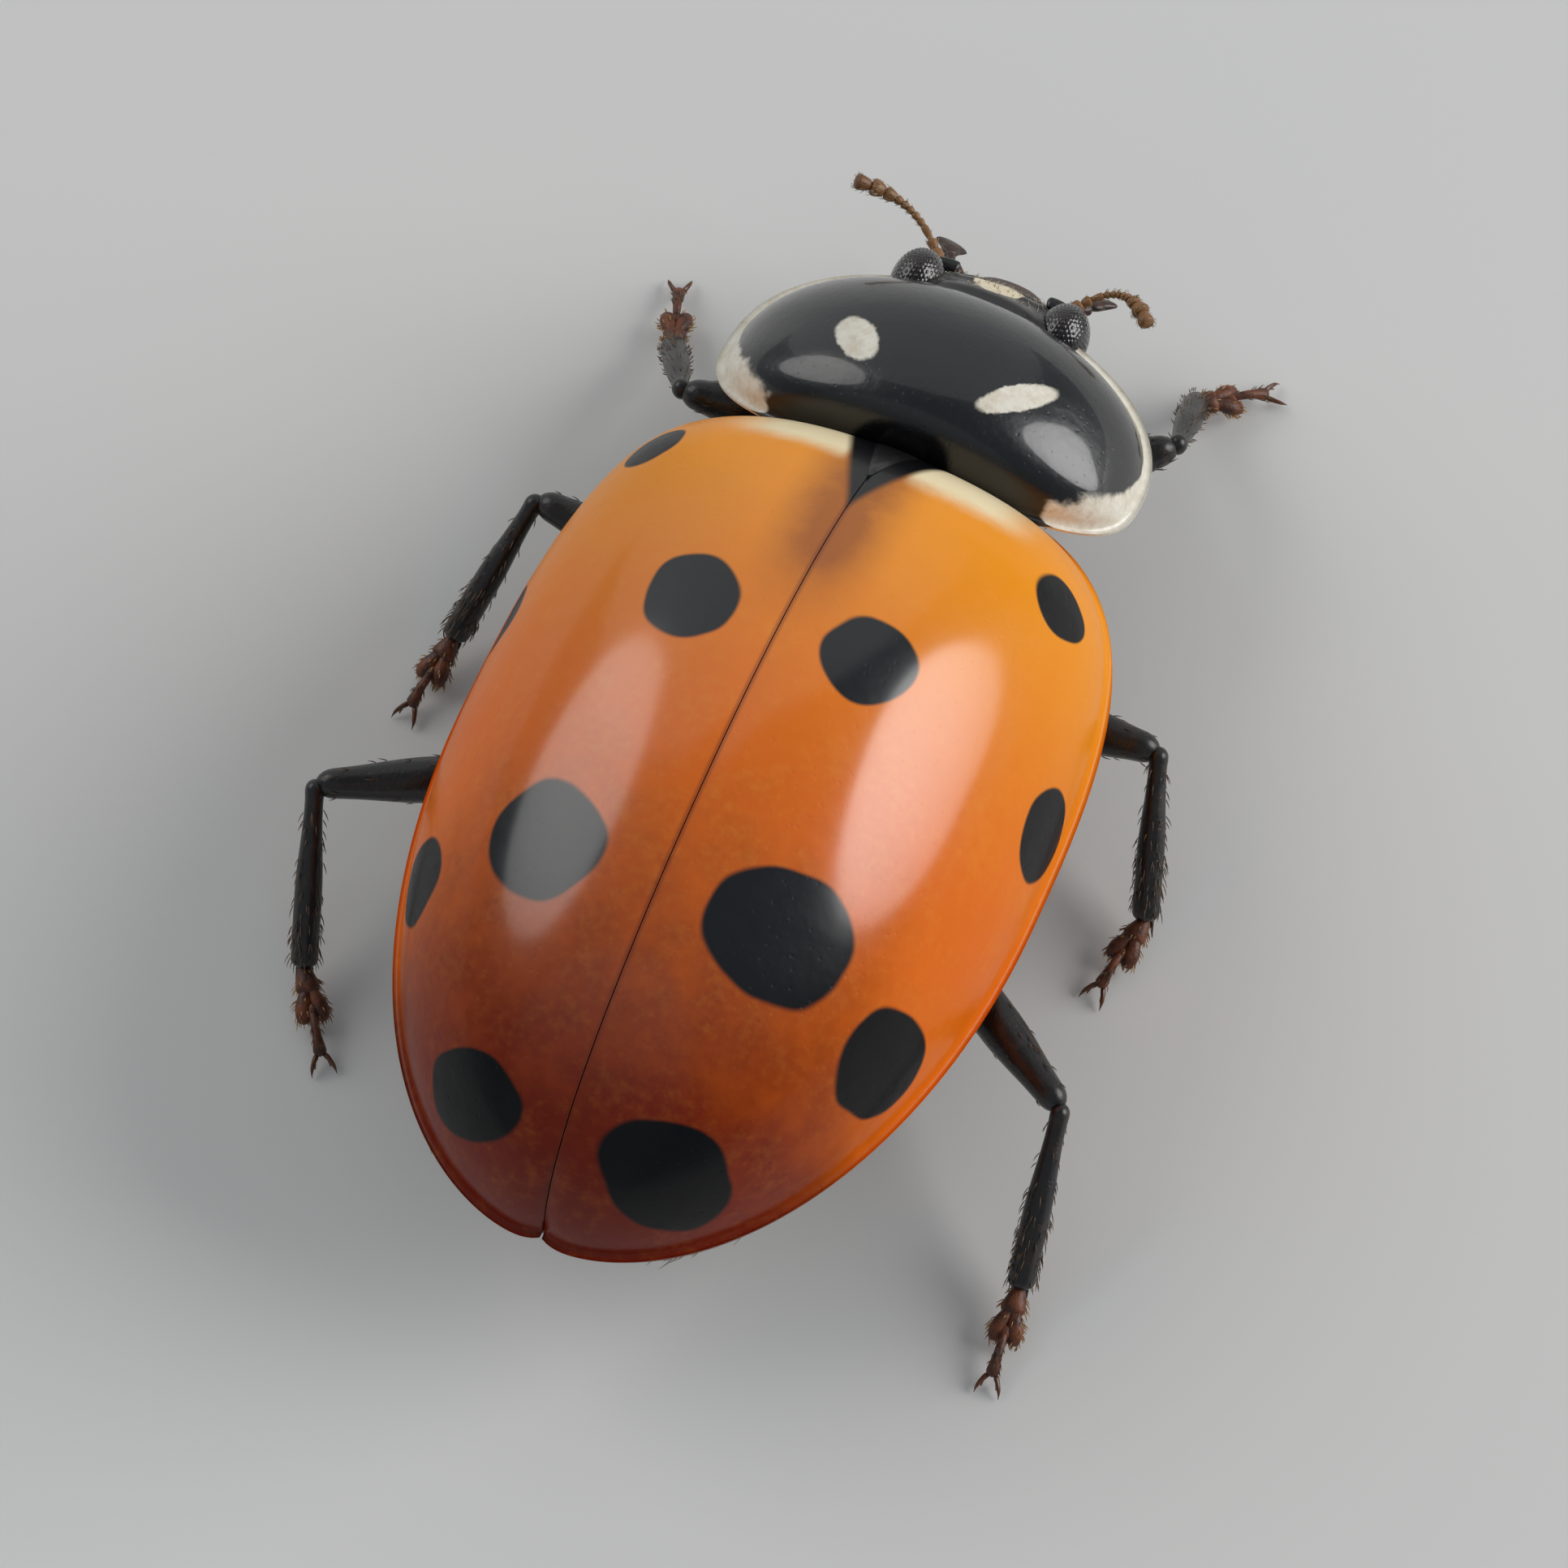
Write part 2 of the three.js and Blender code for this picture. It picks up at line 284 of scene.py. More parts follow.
def within(value):
    """A value kept from 0 to 1."""
    return min(1, max(0, value))


def hump(offset, width):
    """1 where there is no offset, fading smoothly to next to nothing at twice the width."""
    return math.exp(-((offset / width) ** 2))


def arc(offset, power=2, root=2):
    """1 where there is no offset, and 0 from 1 on: a round arc, or a blunter one."""
    return max(0, 1 - offset ** power) ** (1 / root)


def case_profile(share, rear_power, rear_root, front_power, front_root):
    """A size along the wing cases, as a share of the largest, with an arc of its own at each end."""
    along = front_pole + (1 - front_pole) * share
    if along > widest_share:
        return arc((along - widest_share) / (1 - widest_share), rear_power, rear_root)
    return arc(front_cut * (widest_share - along) / widest_share, front_power, front_root)


def case_outline(share):
    """The wing cases' half width, as a share of the largest."""
    return case_profile(share, 2, 2, 3, 3.5)


def case_crest(share):
    """The dome's height, as a share of the largest."""
    return case_profile(share, 2.1, 1.85, 2, 2.1)


def rim_at(share):
    """The height of the rim, which dips a little in the middle."""
    return rim_height + 0.4 * (share - 0.45) ** 2


def rim_point(share, inset=0.0):
    """A point of the wing cases' outline, on the left."""
    front = front_pole * case_length
    rear = case_length - inset
    return Vector(((case_half_width - inset) * case_outline(share), front + share * (rear - front), 0))


def rim_heading(share):
    """The way straight out of the outline, level."""
    run = rim_point(min(1, share + near)) - rim_point(max(0, share - near))
    return Vector((run.y, -run.x, 0)).normalized()


def case_point(share, turn, inset=0.0):
    """A point of the left wing case, from the rim at turn 0 to the seam at a quarter turn."""
    place = rim_point(share, rim_lip + inset)
    out = place.x * math.cos(turn) ** (2 / case_squareness)
    rise = max(0, case_rise * case_crest(share) - inset) * math.sin(turn) ** (2 / case_squareness)
    lip = hump(rise, 0.04)
    seam_dip = 0.008 * hump(out, 0.035)
    shoulder = 0.05 * math.exp(-((out - 1.22) ** 2 + (place.y - 0.5) ** 2) / 0.12)
    height = rim_at(share) + (rise - seam_dip + shoulder) * (1 - lip)
    tip_notch = 0.05 * math.exp(-out / 0.08) * max(0, (share - 0.9) / 0.1)
    spot = Vector((out, place.y - tip_notch, height))
    if not inset:  # the outer skin flares into the rim
        spot += rim_heading(share) * rim_lip * lip + Vector((0, 0, 0.04 * lip))
    return Vector((max(0, spot.x), spot.y, spot.z))


def lining_point(share, depth):
    """A point of the wing case's lower side, from the rim at depth 0 to the seam at depth 1."""
    edge = case_point(share, 0)
    inward = rim_heading(share) * -1
    taper = min(1, (1 - share) / 0.06) ** 0.5 * min(1, share / 0.05)
    fold = 0.36 * max(0, 1 - share) ** 0.55 * min(1, share / 0.05)
    lower = Vector((0, 0, -0.075 * taper))
    stops = (
        (0.0, edge),
        (0.06, edge + inward * 0.006 * taper + lower * 0.5),
        (0.12, edge + inward * 0.03 * taper + lower),
        (0.40, edge + inward * fold + lower * 1.3),
        (0.44, edge + inward * (fold + 0.01 * taper) + lower * 0.9),
        (0.60, case_point(share, inner_start, case_wall)),
    )
    for (start, first), (end, last) in zip(stops, stops[1:]):
        if depth <= end:
            spot = first.lerp(last, (depth - start) / (end - start))
            return Vector((max(0, spot.x), spot.y, spot.z))
    return case_point(share, inner_start + (math.pi / 2 - inner_start) * (depth - 0.6) / 0.4, case_wall)


def dome_height(out, along):
    """The height of the wing cases' surface above a place, for the marks on it."""
    share = max(0.004, (along / case_length - front_pole) / (1 - front_pole))
    level = min(1, abs(out) / ((case_half_width - rim_lip) * case_outline(share)))
    turn = math.acos(level ** (case_squareness / 2))
    return rim_at(share) + case_rise * case_crest(share) * math.sin(turn) ** (2 / case_squareness)


def wing_case(side):
    """One closed shell from half a ball: its upper half is the dome, its lower half the lining."""
    case = bmesh.new()
    bmesh.ops.create_uvsphere(case, u_segments=240, v_segments=150, radius=1, matrix=upright)
    whole = case.verts[:] + case.edges[:] + case.faces[:]
    bmesh.ops.bisect_plane(
        case, geom=whole, plane_co=(0, 0, 0), plane_no=(1, 0, 0), clear_inner=True, dist=1e-5
    )
    for corner in case.verts:
        share = within((1 + corner.co.y) / 2)
        turn = math.atan2(corner.co.z, max(0, corner.co.x)) / (math.pi / 2)
        if abs(corner.co.y) > 0.99999:  # the ball's poles
            turn = 0
        if turn >= 0:  # the rows are drawn together toward the rim
            corner.co = case_point(share, (math.pi / 2) * turn ** 1.6)
        else:
            corner.co = lining_point(share, -turn)
    bmesh.ops.holes_fill(case, edges=[edge for edge in case.edges if edge.is_boundary], sides=0)
    bmesh.ops.remove_doubles(case, verts=case.verts, dist=1e-5)
    bmesh.ops.recalc_face_normals(case, faces=case.faces)
    bmesh.ops.translate(case, vec=(seam_gap, 0, 0), verts=case.verts)
    if side < 0:
        bmesh.ops.scale(case, vec=(-1, 1, 1), verts=case.verts)
        bmesh.ops.reverse_faces(case, faces=case.faces)
    return case


chitin_orange, orange_shader, place = new_finish("orange_wing_case", coat_roughness=0.14)
orange_shader.inputs["Coat IOR"].default_value = 1.65
orange_shader.inputs["Specular IOR Level"].default_value = 0.16
side_place = place.vector("ABSOLUTE")
ripple = place.noise(2.4, 1.0, 0.4, output=1).vector("SUBTRACT", (0.5, 0.5, 0.5))
uneven = side_place.vector("ADD", ripple.vector("MULTIPLY", (0.13, 0.13, 0.13)))
on_right = place.part("X").step(0.02, -0.02)


def spot(out, share, across, along, right_size):
    """The mask of one pair of black spots: its place, its size on the left, and how much larger
    the right one is."""
    centre = Vector((out, share * case_length, dome_height(out, share * case_length)))
    reach = (across / 2, along / 2, max(across, along) / 2)
    offset = uneven.vector("SUBTRACT", centre)
    scaled = offset.vector("DIVIDE", reach).vector("LENGTH", output=1)
    return 1 - (scaled / (1 + on_right * (right_size - 1))).step(0.93, 1.03)


spots = spot(1.20, 0.125, 0.44, 0.42, 1.0)
for mark in (
    spot(0.51, 0.33, 0.56, 0.58, 0.95),
    spot(1.61, 0.355, 0.46, 0.46, 1.2),
    spot(0.69, 0.65, 0.76, 0.66, 1.12),
    spot(1.38, 0.69, 0.66, 0.52, 1.15),
    spot(0.60, 0.91, 0.74, 0.46, 1.2),
):
    spots = spots.larger(mark)
along_body = place.part("Y") / case_length
out_body = side_place.part("X")
by_scutellum = (out_body / 0.26 + (along_body - 0.02) / 0.13).step(1.12, 0.88)
spots = spots.larger(by_scutellum)
mottle = place.noise(3.4, 4.0, 0.6)
fine_mottle = place.noise(16.0, 2.0, 0.6)
front_orange = paint(242, 150, 14)
middle_orange = paint(230, 108, 4)
# Toward the rear the orange is painted darker and redder. A little of this is the wing cases' own redder
# tone; most of it is painted shade on the rear slope, easing off on the outer flanks.
rear_red_with_painted_shade = paint(116, 28, 6)
warm = along_body.step(0.05, 0.55).blend(front_orange, middle_orange)
painted_rear_shade = (along_body + mottle * 0.25 - out_body.step(1.1, 1.6) * 0.2 - 0.11).step(0.46, 0.95)
warm = painted_rear_shade.blend(warm, rear_red_with_painted_shade)
freckles = (mottle * 0.5 + fine_mottle * 0.5).step(0.45, 0.75) * (1 - along_body.step(0.45, 0.9) * 0.6)
warm = (freckles * 0.3).blend(warm, paint(240, 150, 44))
# A darker brown smudge beside the seam, near the front of the wing cases.
beside_seam = out_body.step(0.42, 0.02) * along_body.step(0.36, 0.16)
warm = (beside_seam * (mottle + 0.35)).smaller(0.7).blend(warm, paint(128, 56, 12))
cream = (along_body + (mottle - 0.5) * 0.02).step(0.085, 0.05)
cream = cream * out_body.step(1.0, 0.6) * out_body.step(0.14, 0.22)
warm = cream.blend(warm, paint(250, 232, 190))
seam_line = out_body.step(0.03, 0.008)
warm = (seam_line * 0.5).blend(warm, paint(110, 40, 12))
lay(orange_shader, "Base Color", spots.blend(warm, paint(9, 9, 12)))
pits = place.cells(15.0)
pit_depth = pits.step(0.22, 0.05)
skin_ripple = place.noise(4.0, 3.0, 0.5)
dimpled = (skin_ripple * 0.6).bump(0.5, 0.03)
lay(orange_shader, "Normal", (1 - pit_depth).bump(0.35, 0.004, dimpled))
lay(orange_shader, "Roughness", 0.28 + fine_mottle * 0.14 + pit_depth * 0.1)
lay(orange_shader, "Coat Weight", 0.1 + place.part("Z").step(1.9, 2.5) * 0.9)

for side, side_name in ((1, "left"), (-1, "right")):
    case = wing_case(side)
    set_in_place(case, f"wing_case_{side_name}", chitin_orange, [f"elytron_{side_name}"], 60)

# ---------------------------------------------------------------- pronotum
# The shield over the neck: one piece of hard black chitin, domed, with a thin turned-up edge.
# The edge and the rear corners are white, and two white dashes converge toward the rear.
shield_low, shield_high = (corner * 1000 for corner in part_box("pronotum"))
shield_length = shield_high.y - shield_low.y
shield_half_width = shield_high.x
shield_front = shield_low.y - base_line
shield_widest = 0.62  # share of its length, from the front
shield_lip = 0.045
shield_height = 1.1  # at its front edge, on the middle line
shield_slope = 0.35  # how much higher its rear edge is
shield_droop = 0.3  # how much lower its sides are
shield_dome = 0.5
shield_below = 0.13  # how far it bulges below its edge


def rounded(value, power):
    """A power of a sine or cosine that keeps its sign, for a squarer or rounder section."""
    return math.copysign(abs(value) ** power, value)


def plate_ball(skin, around, along):
    """A closed ball of mesh drawn onto a skin that is given by share and turn."""
    ball = bmesh.new()
    bmesh.ops.create_uvsphere(ball, u_segments=around, v_segments=along, radius=1, matrix=upright)
    for corner in ball.verts:
        corner.co = skin(within((1 + corner.co.y) / 2), math.atan2(corner.co.z, corner.co.x))
    return ball


def shield_sides(share):
    """The shield's half width, as a share of the largest."""
    if share < shield_widest:
        return arc((shield_widest - share) / shield_widest, 2.4, 2.2)
    return arc((share - shield_widest) / (1 - shield_widest), 3, 2.4)


def shield_arch(share):
    """The shield's thickness, as a share of the largest."""
    return arc(abs(2 * share - 1), 2.2 if share < 0.5 else 2.8)


def shield_point(share, turn):
    """A point of the pronotum: turn 0 is its left edge, a quarter turn its crest."""
    out = (shield_half_width - shield_lip) * shield_sides(share) * rounded(math.cos(turn), 2 / 2.1)
    thick = shield_dome if turn > 0 else shield_below
    rise = thick * shield_arch(share) * abs(math.sin(turn)) ** (2 / 2.1)
    lip = hump(rise, shield_lip)
    height = shield_height + shield_slope * share - shield_droop * (out / shield_half_width) ** 2
    if turn > 0:
        height += rise * (1 - lip) + shield_lip * lip
    else:
        height += 0.02 - rise
    along = shield_front + shield_lip + share * (shield_length - 2 * shield_lip)
    ahead, behind = max(0, share - near), min(1, share + near)
    widening = (shield_sides(behind) - shield_sides(ahead)) * shield_half_width
    run = shield_length * (behind - ahead)
    heading = Vector((run * (1 if out >= 0 else -1), -widening, 0)).normalized()
    return Vector((out, along, height)) + heading * shield_lip * lip


def shield_skin(share, turn):
    """The shield's points, with its rows of mesh drawn together toward the edge."""
    quarter = abs(math.asin(math.sin(turn))) / (math.pi / 2)
    level = (math.pi / 2) * quarter ** 1.5
    return shield_point(share, math.copysign(level if abs(turn) <= math.pi / 2 else math.pi - level, turn))


shield = plate_ball(shield_skin, 192, 128)
bmesh.ops.remove_doubles(shield, verts=shield.verts, dist=1e-6)

# How far each point is from the edge, as a share of the white margin's width there.
rim = [shield_point(i / 800, 0) for i in range(801)]
rim_tree = KDTree(2 * len(rim))
for i, point in enumerate(rim):
    rim_tree.insert(point, 2 * i)
    rim_tree.insert(Vector((-point.x, point.y, point.z)), 2 * i + 1)
rim_tree.balance()
margin_layer = shield.verts.layers.float.new("white_edge")
shield.verts.ensure_lookup_table()
for corner in shield.verts:
    gap = rim_tree.find(corner.co)[2]
    share = within((corner.co.y - shield_front) / shield_length)
    corner_white = 0.17 * hump(share - 0.74, 0.17)
    rear_black = within((share - 0.88) / 0.06)
    width = (0.07 + corner_white) * (1 - rear_black) + 0.001
    corner[margin_layer] = min(3.0, gap / width)

black_shield, shield_shader, place = new_finish("black_and_white_shield", coat_roughness=0.08)
edge_share = place.node("Attribute", {"attribute_name": "white_edge"}, {}, output=2)
wobble = place.noise(9.0, 3.0, 0.6)
fine_wobble = place.noise(30.0, 2.0, 0.6)
white = (edge_share + (wobble - 0.5) * 0.5).step(1.12, 0.88)
out_body = place.part("X")
along = place.part("Y")


def dash(out, rearward, half_length, half_width, heading):
    """The mask of one white dash, set at an angle on the shield."""
    turn = math.radians(heading)
    across_x = out_body - out + (wobble - 0.5) * 0.05
    across_y = along - rearward + (fine_wobble - 0.5) * 0.03
    length_way = (across_x * math.cos(turn) + across_y * math.sin(turn)) / half_length
    width_way = (across_y * math.cos(turn) - across_x * math.sin(turn)) / half_width
    return (length_way * length_way + width_way * width_way).step(1.2, 0.8)


white = white.larger(dash(-0.49, -0.49, 0.24, 0.08, 46))
white = white.larger(dash(0.47, -0.48, 0.17, 0.11, -46))
black = fine_wobble.blend(paint(7, 7, 9), paint(16, 15, 17))
ivory = (wobble * 0.6 + fine_wobble * 0.4).step(0.3, 0.75).blend(paint(240, 236, 222), paint(214, 200, 176))
lay(shield_shader, "Base Color", white.blend(black, ivory))
pits = place.cells(19.0).step(0.24, 0.06)
lay(shield_shader, "Normal", (1 - pits).bump(0.3, 0.004, place.noise(5.0).bump(0.35, 0.02)))
lay(shield_shader, "Roughness", 0.24 + fine_wobble * 0.12 + white * 0.1 + pits * 0.1)
lay(shield_shader, "Coat Weight", 0.15 + along.step(-0.08, -0.16) * 0.65)
set_in_place(shield, "pronotum_shield", black_shield, ["pronotum"], crease=70)

# ---------------------------------------------------------------- scutellum
# The small black triangle between the bases of the wing cases: a thin plate of chitin that
# keeps them apart when they are shut.
plate_half_width = 0.2
plate_front = -0.1
plate_tip = 0.46
plate_wall = 0.09

plate = bmesh.new()
for point in ((-plate_half_width, plate_front, 0), (plate_half_width, plate_front, 0), (0, plate_tip, 0)):
    plate.verts.new(point)
plate.faces.new(plate.verts)
bmesh.ops.subdivide_edges(plate, edges=plate.edges, cuts=15, use_grid_fill=True)
for corner in plate.verts:
    level = (plate_tip - corner.co.y) / (plate_tip - plate_front)
    edge_out = max(1e-6, plate_half_width * level)
    centre_share = min(1, abs(corner.co.x) / edge_out)
    corner.co.x *= 1 - 0.16 * math.sin(math.pi * level)
    crown = 0.02 * (1 - centre_share ** 4)
    corner.co.z = dome_height(corner.co.x, corner.co.y) + crown + 0.004
extruded = bmesh.ops.extrude_face_region(plate, geom=plate.faces[:])["geom"]
lower = [corner for corner in extruded if isinstance(corner, bmesh.types.BMVert)]
bmesh.ops.translate(plate, vec=(0, 0, -plate_wall), verts=lower)
bmesh.ops.recalc_face_normals(plate, faces=plate.faces)


def scaly(place, under, scale, strength, depth, reach=0.5):
    """The fine scales that chitin is made of, as a bump over the one under it."""
    return place.cells(scale).step(0.0, reach).bump(strength, depth, under)


def grained(name, scale, colours, roughness, spread=None, detail=4.0, bump=None, scales=None, **coat):
    """A finish with a fine grain, which goes from one colour to the other over the spread. The
    roughness is that of the first colour and what the grain adds."""
    finish, shader, place = new_finish(name, **coat)
    grain = place.noise(scale, detail, 0.6)
    lay(shader, "Base Color", (grain.step(*spread) if spread else grain).blend(*colours))
    lay(shader, "Roughness", roughness[0] + grain * roughness[1])
    if scales:
        lay(shader, "Normal", scaly(place, grain.bump(*bump), *scales))
    return finish


black_chitin = grained(
    "black_chitin", 14.0, (paint(7, 7, 9), paint(24, 20, 19)), (0.26, 0.2),
    bump=(0.3, 0.01), scales=(24.0, 0.25, 0.004, 0.4), coat=0.35, coat_roughness=0.12,
)
set_in_place(plate, "scutellum_plate", black_chitin, ["scutellum"], crease=50)

# ---------------------------------------------------------------- body under the plates
# Black chitin plates on the underside: the chest, which carries the middle and hind legs, and
# the belly, whose rings overlap like tiles. Two small side plates on each flank are pale.


def blunt(share):
    """A profile that is broad along its middle and closes bluntly at both ends."""
    return arc(abs(2 * share - 1), 3, 2.2)


def trunk_half_width(case_share):
    """The trunk's half width: it fits inside the strips folded in from the wing cases' rims."""
    fold = 0.30 * max(0, 1 - case_share) ** 0.55
    return (case_half_width - rim_lip - fold) * case_outline(case_share) - 0.02 * case_share


def trunk_point(share, turn, front, rear, deep):
    """A point of the trunk between front and rear, flat above and this deep below."""
    along = front + share * (rear - front)
    case_share = within((along / case_length - front_pole) / (1 - front_pole))
    out = trunk_half_width(case_share) * rounded(math.cos(turn), 2 / 2.3)
    reach_up = 0.12 if turn > 0 else deep(case_share)
    return Vector((out, along, rim_at(case_share) + reach_up * rounded(math.sin(turn), 2 / 2.2)))


def trunk_middle(along):
    """The middle of the trunk at a place along it."""
    return Vector((0, along, rim_at(within(along / case_length))))


# The rings of the belly, by where each starts behind the base line.
ring_starts = (1.95, 2.62, 3.16, 3.62, 4.03, 4.4, 4.9)


def ring_step(along):
    """How far a ring of the belly stands proud: most at its rear edge, where it laps the next."""
    for start, end in zip(ring_starts, ring_starts[1:]):
        if start <= along < end:
            share = (along - start) / (end - start)
            return 0.045 * share ** 1.6 * (1 - max(0, (share - 0.93) / 0.07) ** 2)
    return 0.0


belly_front = 1.9
belly_rear = case_length - 0.11


def belly_depth(case_share):
    """The belly is deepest in its middle."""
    return 0.45 * blunt(case_share) ** 0.8


def belly_skin(share, turn):
    """A point of the belly, from its front at share 0. Turn 0 is its left edge."""
    swell = min(1, share / 0.02) ** 0.5 * min(1, (1 - share) / 0.05) ** 0.5
    level = trunk_point(share, turn, belly_front, belly_rear, belly_depth)
    middle = trunk_middle(level.y)
    away = level - middle
    if away.length > 1e-6:
        proud = ring_step(belly_front + share * (belly_rear - belly_front))
        away = (away + away.normalized() * proud) * swell
    return middle + away


belly = plate_ball(belly_skin, 96, 220)

trunk_blacks = (paint(10, 9, 10), paint(34, 25, 20))
black_belly = grained(
    "black_belly_rings", 10.0, trunk_blacks, (0.34, 0.25), (0.35, 0.75),
    bump=(0.4, 0.015), scales=(22.0, 0.4, 0.006), coat=0.15,
)
set_in_place(belly, "belly_rings", black_belly, ["abdomen"], crease=40)


chest_front = -0.06
chest_rear = 2.0


def chest_depth(case_share):
    """The chest is equally deep all along."""
    return 0.47


def chest_skin(share, turn):
    """A point of the chest, with the grooves between its plates."""
    level = trunk_point(share, turn, chest_front, chest_rear, chest_depth)
    middle = trunk_middle(level.y)
    swell = min(1, share / 0.06) ** 0.5 * min(1, (1 - share) / 0.03) ** 0.5
    away = (level - middle) * swell
    under = max(0.0, -math.sin(turn))
    groove = 0.03 * hump(away.x, 0.05) * min(1, share / 0.4) * under
    side_line = 0.022 * hump(abs(away.x) - 0.98, 0.03) * under
    cross_line = 0.03 * hump(level.y - 0.52, 0.035) * under
    away *= 1 - (groove + side_line + cross_line)
    return middle + away + Vector((0, 0, groove + cross_line))


chest = plate_ball(chest_skin, 96, 140)

chest_finish, chest_shader, place = new_finish("black_chest_white_shoulders", coat=0.15)
out_body = place.vector("ABSOLUTE").part("X")
along = place.part("Y")
grain = place.noise(9.0, 4.0, 0.6)


def pale_plate(out, rearward, half_width, half_length):
    """The mask of one pale side plate, an oval with a soft edge."""
    across_x = (out_body - out + (grain - 0.5) * 0.08) / half_width
    across_y = (along - rearward + (grain - 0.5) * 0.10) / half_length
    return (across_x * across_x + across_y * across_y).step(1.25, 0.75)


white = pale_plate(1.16, 0.36, 0.17, 0.26).larger(pale_plate(1.22, 1.72, 0.11, 0.15))
black = grain.step(0.35, 0.75).blend(*trunk_blacks)
ivory = grain.blend(paint(236, 228, 206), paint(200, 182, 150))
lay(chest_shader, "Base Color", white.blend(black, ivory))
lay(chest_shader, "Normal", scaly(place, grain.bump(0.4, 0.015), 20.0, 0.45, 0.007))
lay(chest_shader, "Roughness", 0.34 + grain * 0.25)
set_in_place(chest, "chest_plates", chest_finish, ["thorax"], crease=40)


neck_front = -1.05
neck_length = 0.98
neck_half_width = 0.97
neck_height = 0.96


def neck_skin(share, turn):
    """A point of the neck's plates under the shield, with a low keel below."""
    out = neck_half_width * blunt(share) ** 0.8 * rounded(math.cos(turn), 2 / 2.2)
    rise = (0.34 if turn > 0 else 0.36 * blunt(share)) * rounded(math.sin(turn), 2 / 2.4)
    keel = 0.05 * hump(out, 0.1) * max(0, -math.sin(turn)) * blunt(share)
    return Vector((out, neck_front + share * neck_length, neck_height + rise - keel))


neck = plate_ball(neck_skin, 72, 60)
set_in_place(neck, "neck_plates", chest_finish, ["prothorax"], crease=40)

# ---------------------------------------------------------------- hairs of the underside
# Short fine pale hairs that lie toward the rear on the chest and belly plates. Each is one stiff
# hollow bristle in a socket of the chitin.
bake_patch = 0.003  # how much of the bake map each hair takes
dice = random.Random(11)  # seeded, so that every hair grows the same each time
below = (-math.pi + 0.15, -0.15)  # the turns that face down


def hair_finish(name, scale, colour, streaks, roughness):
    """A finish for fine hairs, streaked with a second colour."""
    return grained(name, scale, (colour, streaks), (roughness, 0.2), (0.3, 0.7), 3.0)


pale_hair = hair_finish("pale_fine_hair", 12.0, paint(196, 178, 146), paint(132, 110, 82), 0.4)


def hair_mesh():
    """An empty mesh for hairs, with the map where each hair's colour is baked."""
    mesh = bmesh.new()
    mesh.loops.layers.uv.new("OFBake")
    return mesh


def set_hair(mesh, root, heading, length, bend, thick, patch):
    """One hair: a thin closed spindle from its root, bent toward `bend` as it grows."""
    made = bmesh.ops.create_uvsphere(mesh, u_segments=3, v_segments=4, radius=1, matrix=upright)["verts"]
    bake_map = mesh.loops.layers.uv["OFBake"]
    for face in {face for corner in made for face in corner.link_faces}:
        for loop in face.loops:
            spread = Vector((loop.vert.co.x, loop.vert.co.y)) * bake_patch / 2
            loop[bake_map].uv = patch + spread
    sideways = heading.orthogonal().normalized()
    upward = heading.cross(sideways)
    for corner in made:
        share = (1 + corner.co.y) / 2
        round_part = (sideways * corner.co.x + upward * corner.co.z) * thick * (1.5 - share)
        corner.co = root + (heading + bend * share) * length * share + round_part


def hairs_on(mesh, skin, count, turns, shares, length, column, lift=0.45, thick=0.0036):
    """Hairs spread over a skin given by share and turn, lying toward its far end. They are baked
    in one column of the map, laid out there as they stand on the skin."""
    for _ in range(count):
        share = dice.uniform(*shares)
        turn = dice.uniform(*turns)
        root = skin(share, turn)
        ahead = skin(share + 0.01, turn) - root
        around = skin(share, turn + 0.01) - root
        outward = around.cross(ahead).normalized()
        if outward.dot(root - skin(share, turn + math.pi)) < 0:
            outward = -outward
        heading = (ahead.normalized() + outward * lift).normalized()
        heading = (heading + Vector([dice.uniform(-0.15, 0.15) for _ in range(3)])).normalized()
        grown = length * dice.uniform(0.7, 1.2)
        patch = Vector((column + 0.3 * share, 0.05 + 0.9 * (turn / math.tau + 0.5)))
        set_hair(mesh, root, heading, grown, -outward * 0.2, thick, patch)


def set_hairs_in_place(mesh, name, finish):
    """Hand hairs over: they are smooth all round, and stand for no solid."""
    set_in_place(mesh, name, finish, [], crease=180)


underside = hair_mesh()
hairs_on(underside, belly_skin, 640, below, (0.04, 0.985), 0.11, 0.02)
hairs_on(underside, chest_skin, 300, below, (0.06, 0.95), 0.10, 0.35)
hairs_on(underside, neck_skin, 70, below, (0.15, 0.9), 0.07, 0.68)
set_hairs_in_place(underside, "underside_hairs", pale_hair)

# ---------------------------------------------------------------- legs
# Six legs of black chitin. Each has a round hip piece, a small ring, a club-shaped thigh, a thin
# shin that widens to two spurs, and a brown foot of four pieces with two hooked claws.
hip_height = 0.52
knee_height = 0.82
ankle_height = 0.2
toe_height = 0.1
hips = {"front": (0.45, -0.4), "middle": (0.62, 0.8), "hind": (0.72, 1.95)}
lengths = {"front": (1.05, 0.85, 0.4), "middle": (1.32, 0.98, 0.4), "hind": (1.85, 1.05, 0.45)}
headings = {  # degrees in plan, from straight out to the side, forward positive: thigh, shin, foot
    "front_left": (-12, 60, 70), "front_right": (35, 100, 40),
    "middle_left": (2, -73, -80), "middle_right": (0, -72, -103),
    "hind_left": (-29, -108, -125), "hind_right": (-34, -82, -85),
}
skyward = Vector((0, 0, 1))


def along_path(path, share):
    """A point on the smooth curve that a few points pull."""
    points = list(path)
    while len(points) > 1:
        points = [start.lerp(end, share) for start, end in zip(points, points[1:])]
    return points[0]


def eased(profile, share):
    """A size along a limb, eased from one listed (share, size) to the next."""
    for (start, first), (end, last) in zip(profile, profile[1:]):
        if share <= end:
            step = (share - start) / (end - start)
            return first + (last - first) * step * step * (3 - 2 * step)
    return profile[-1][1]


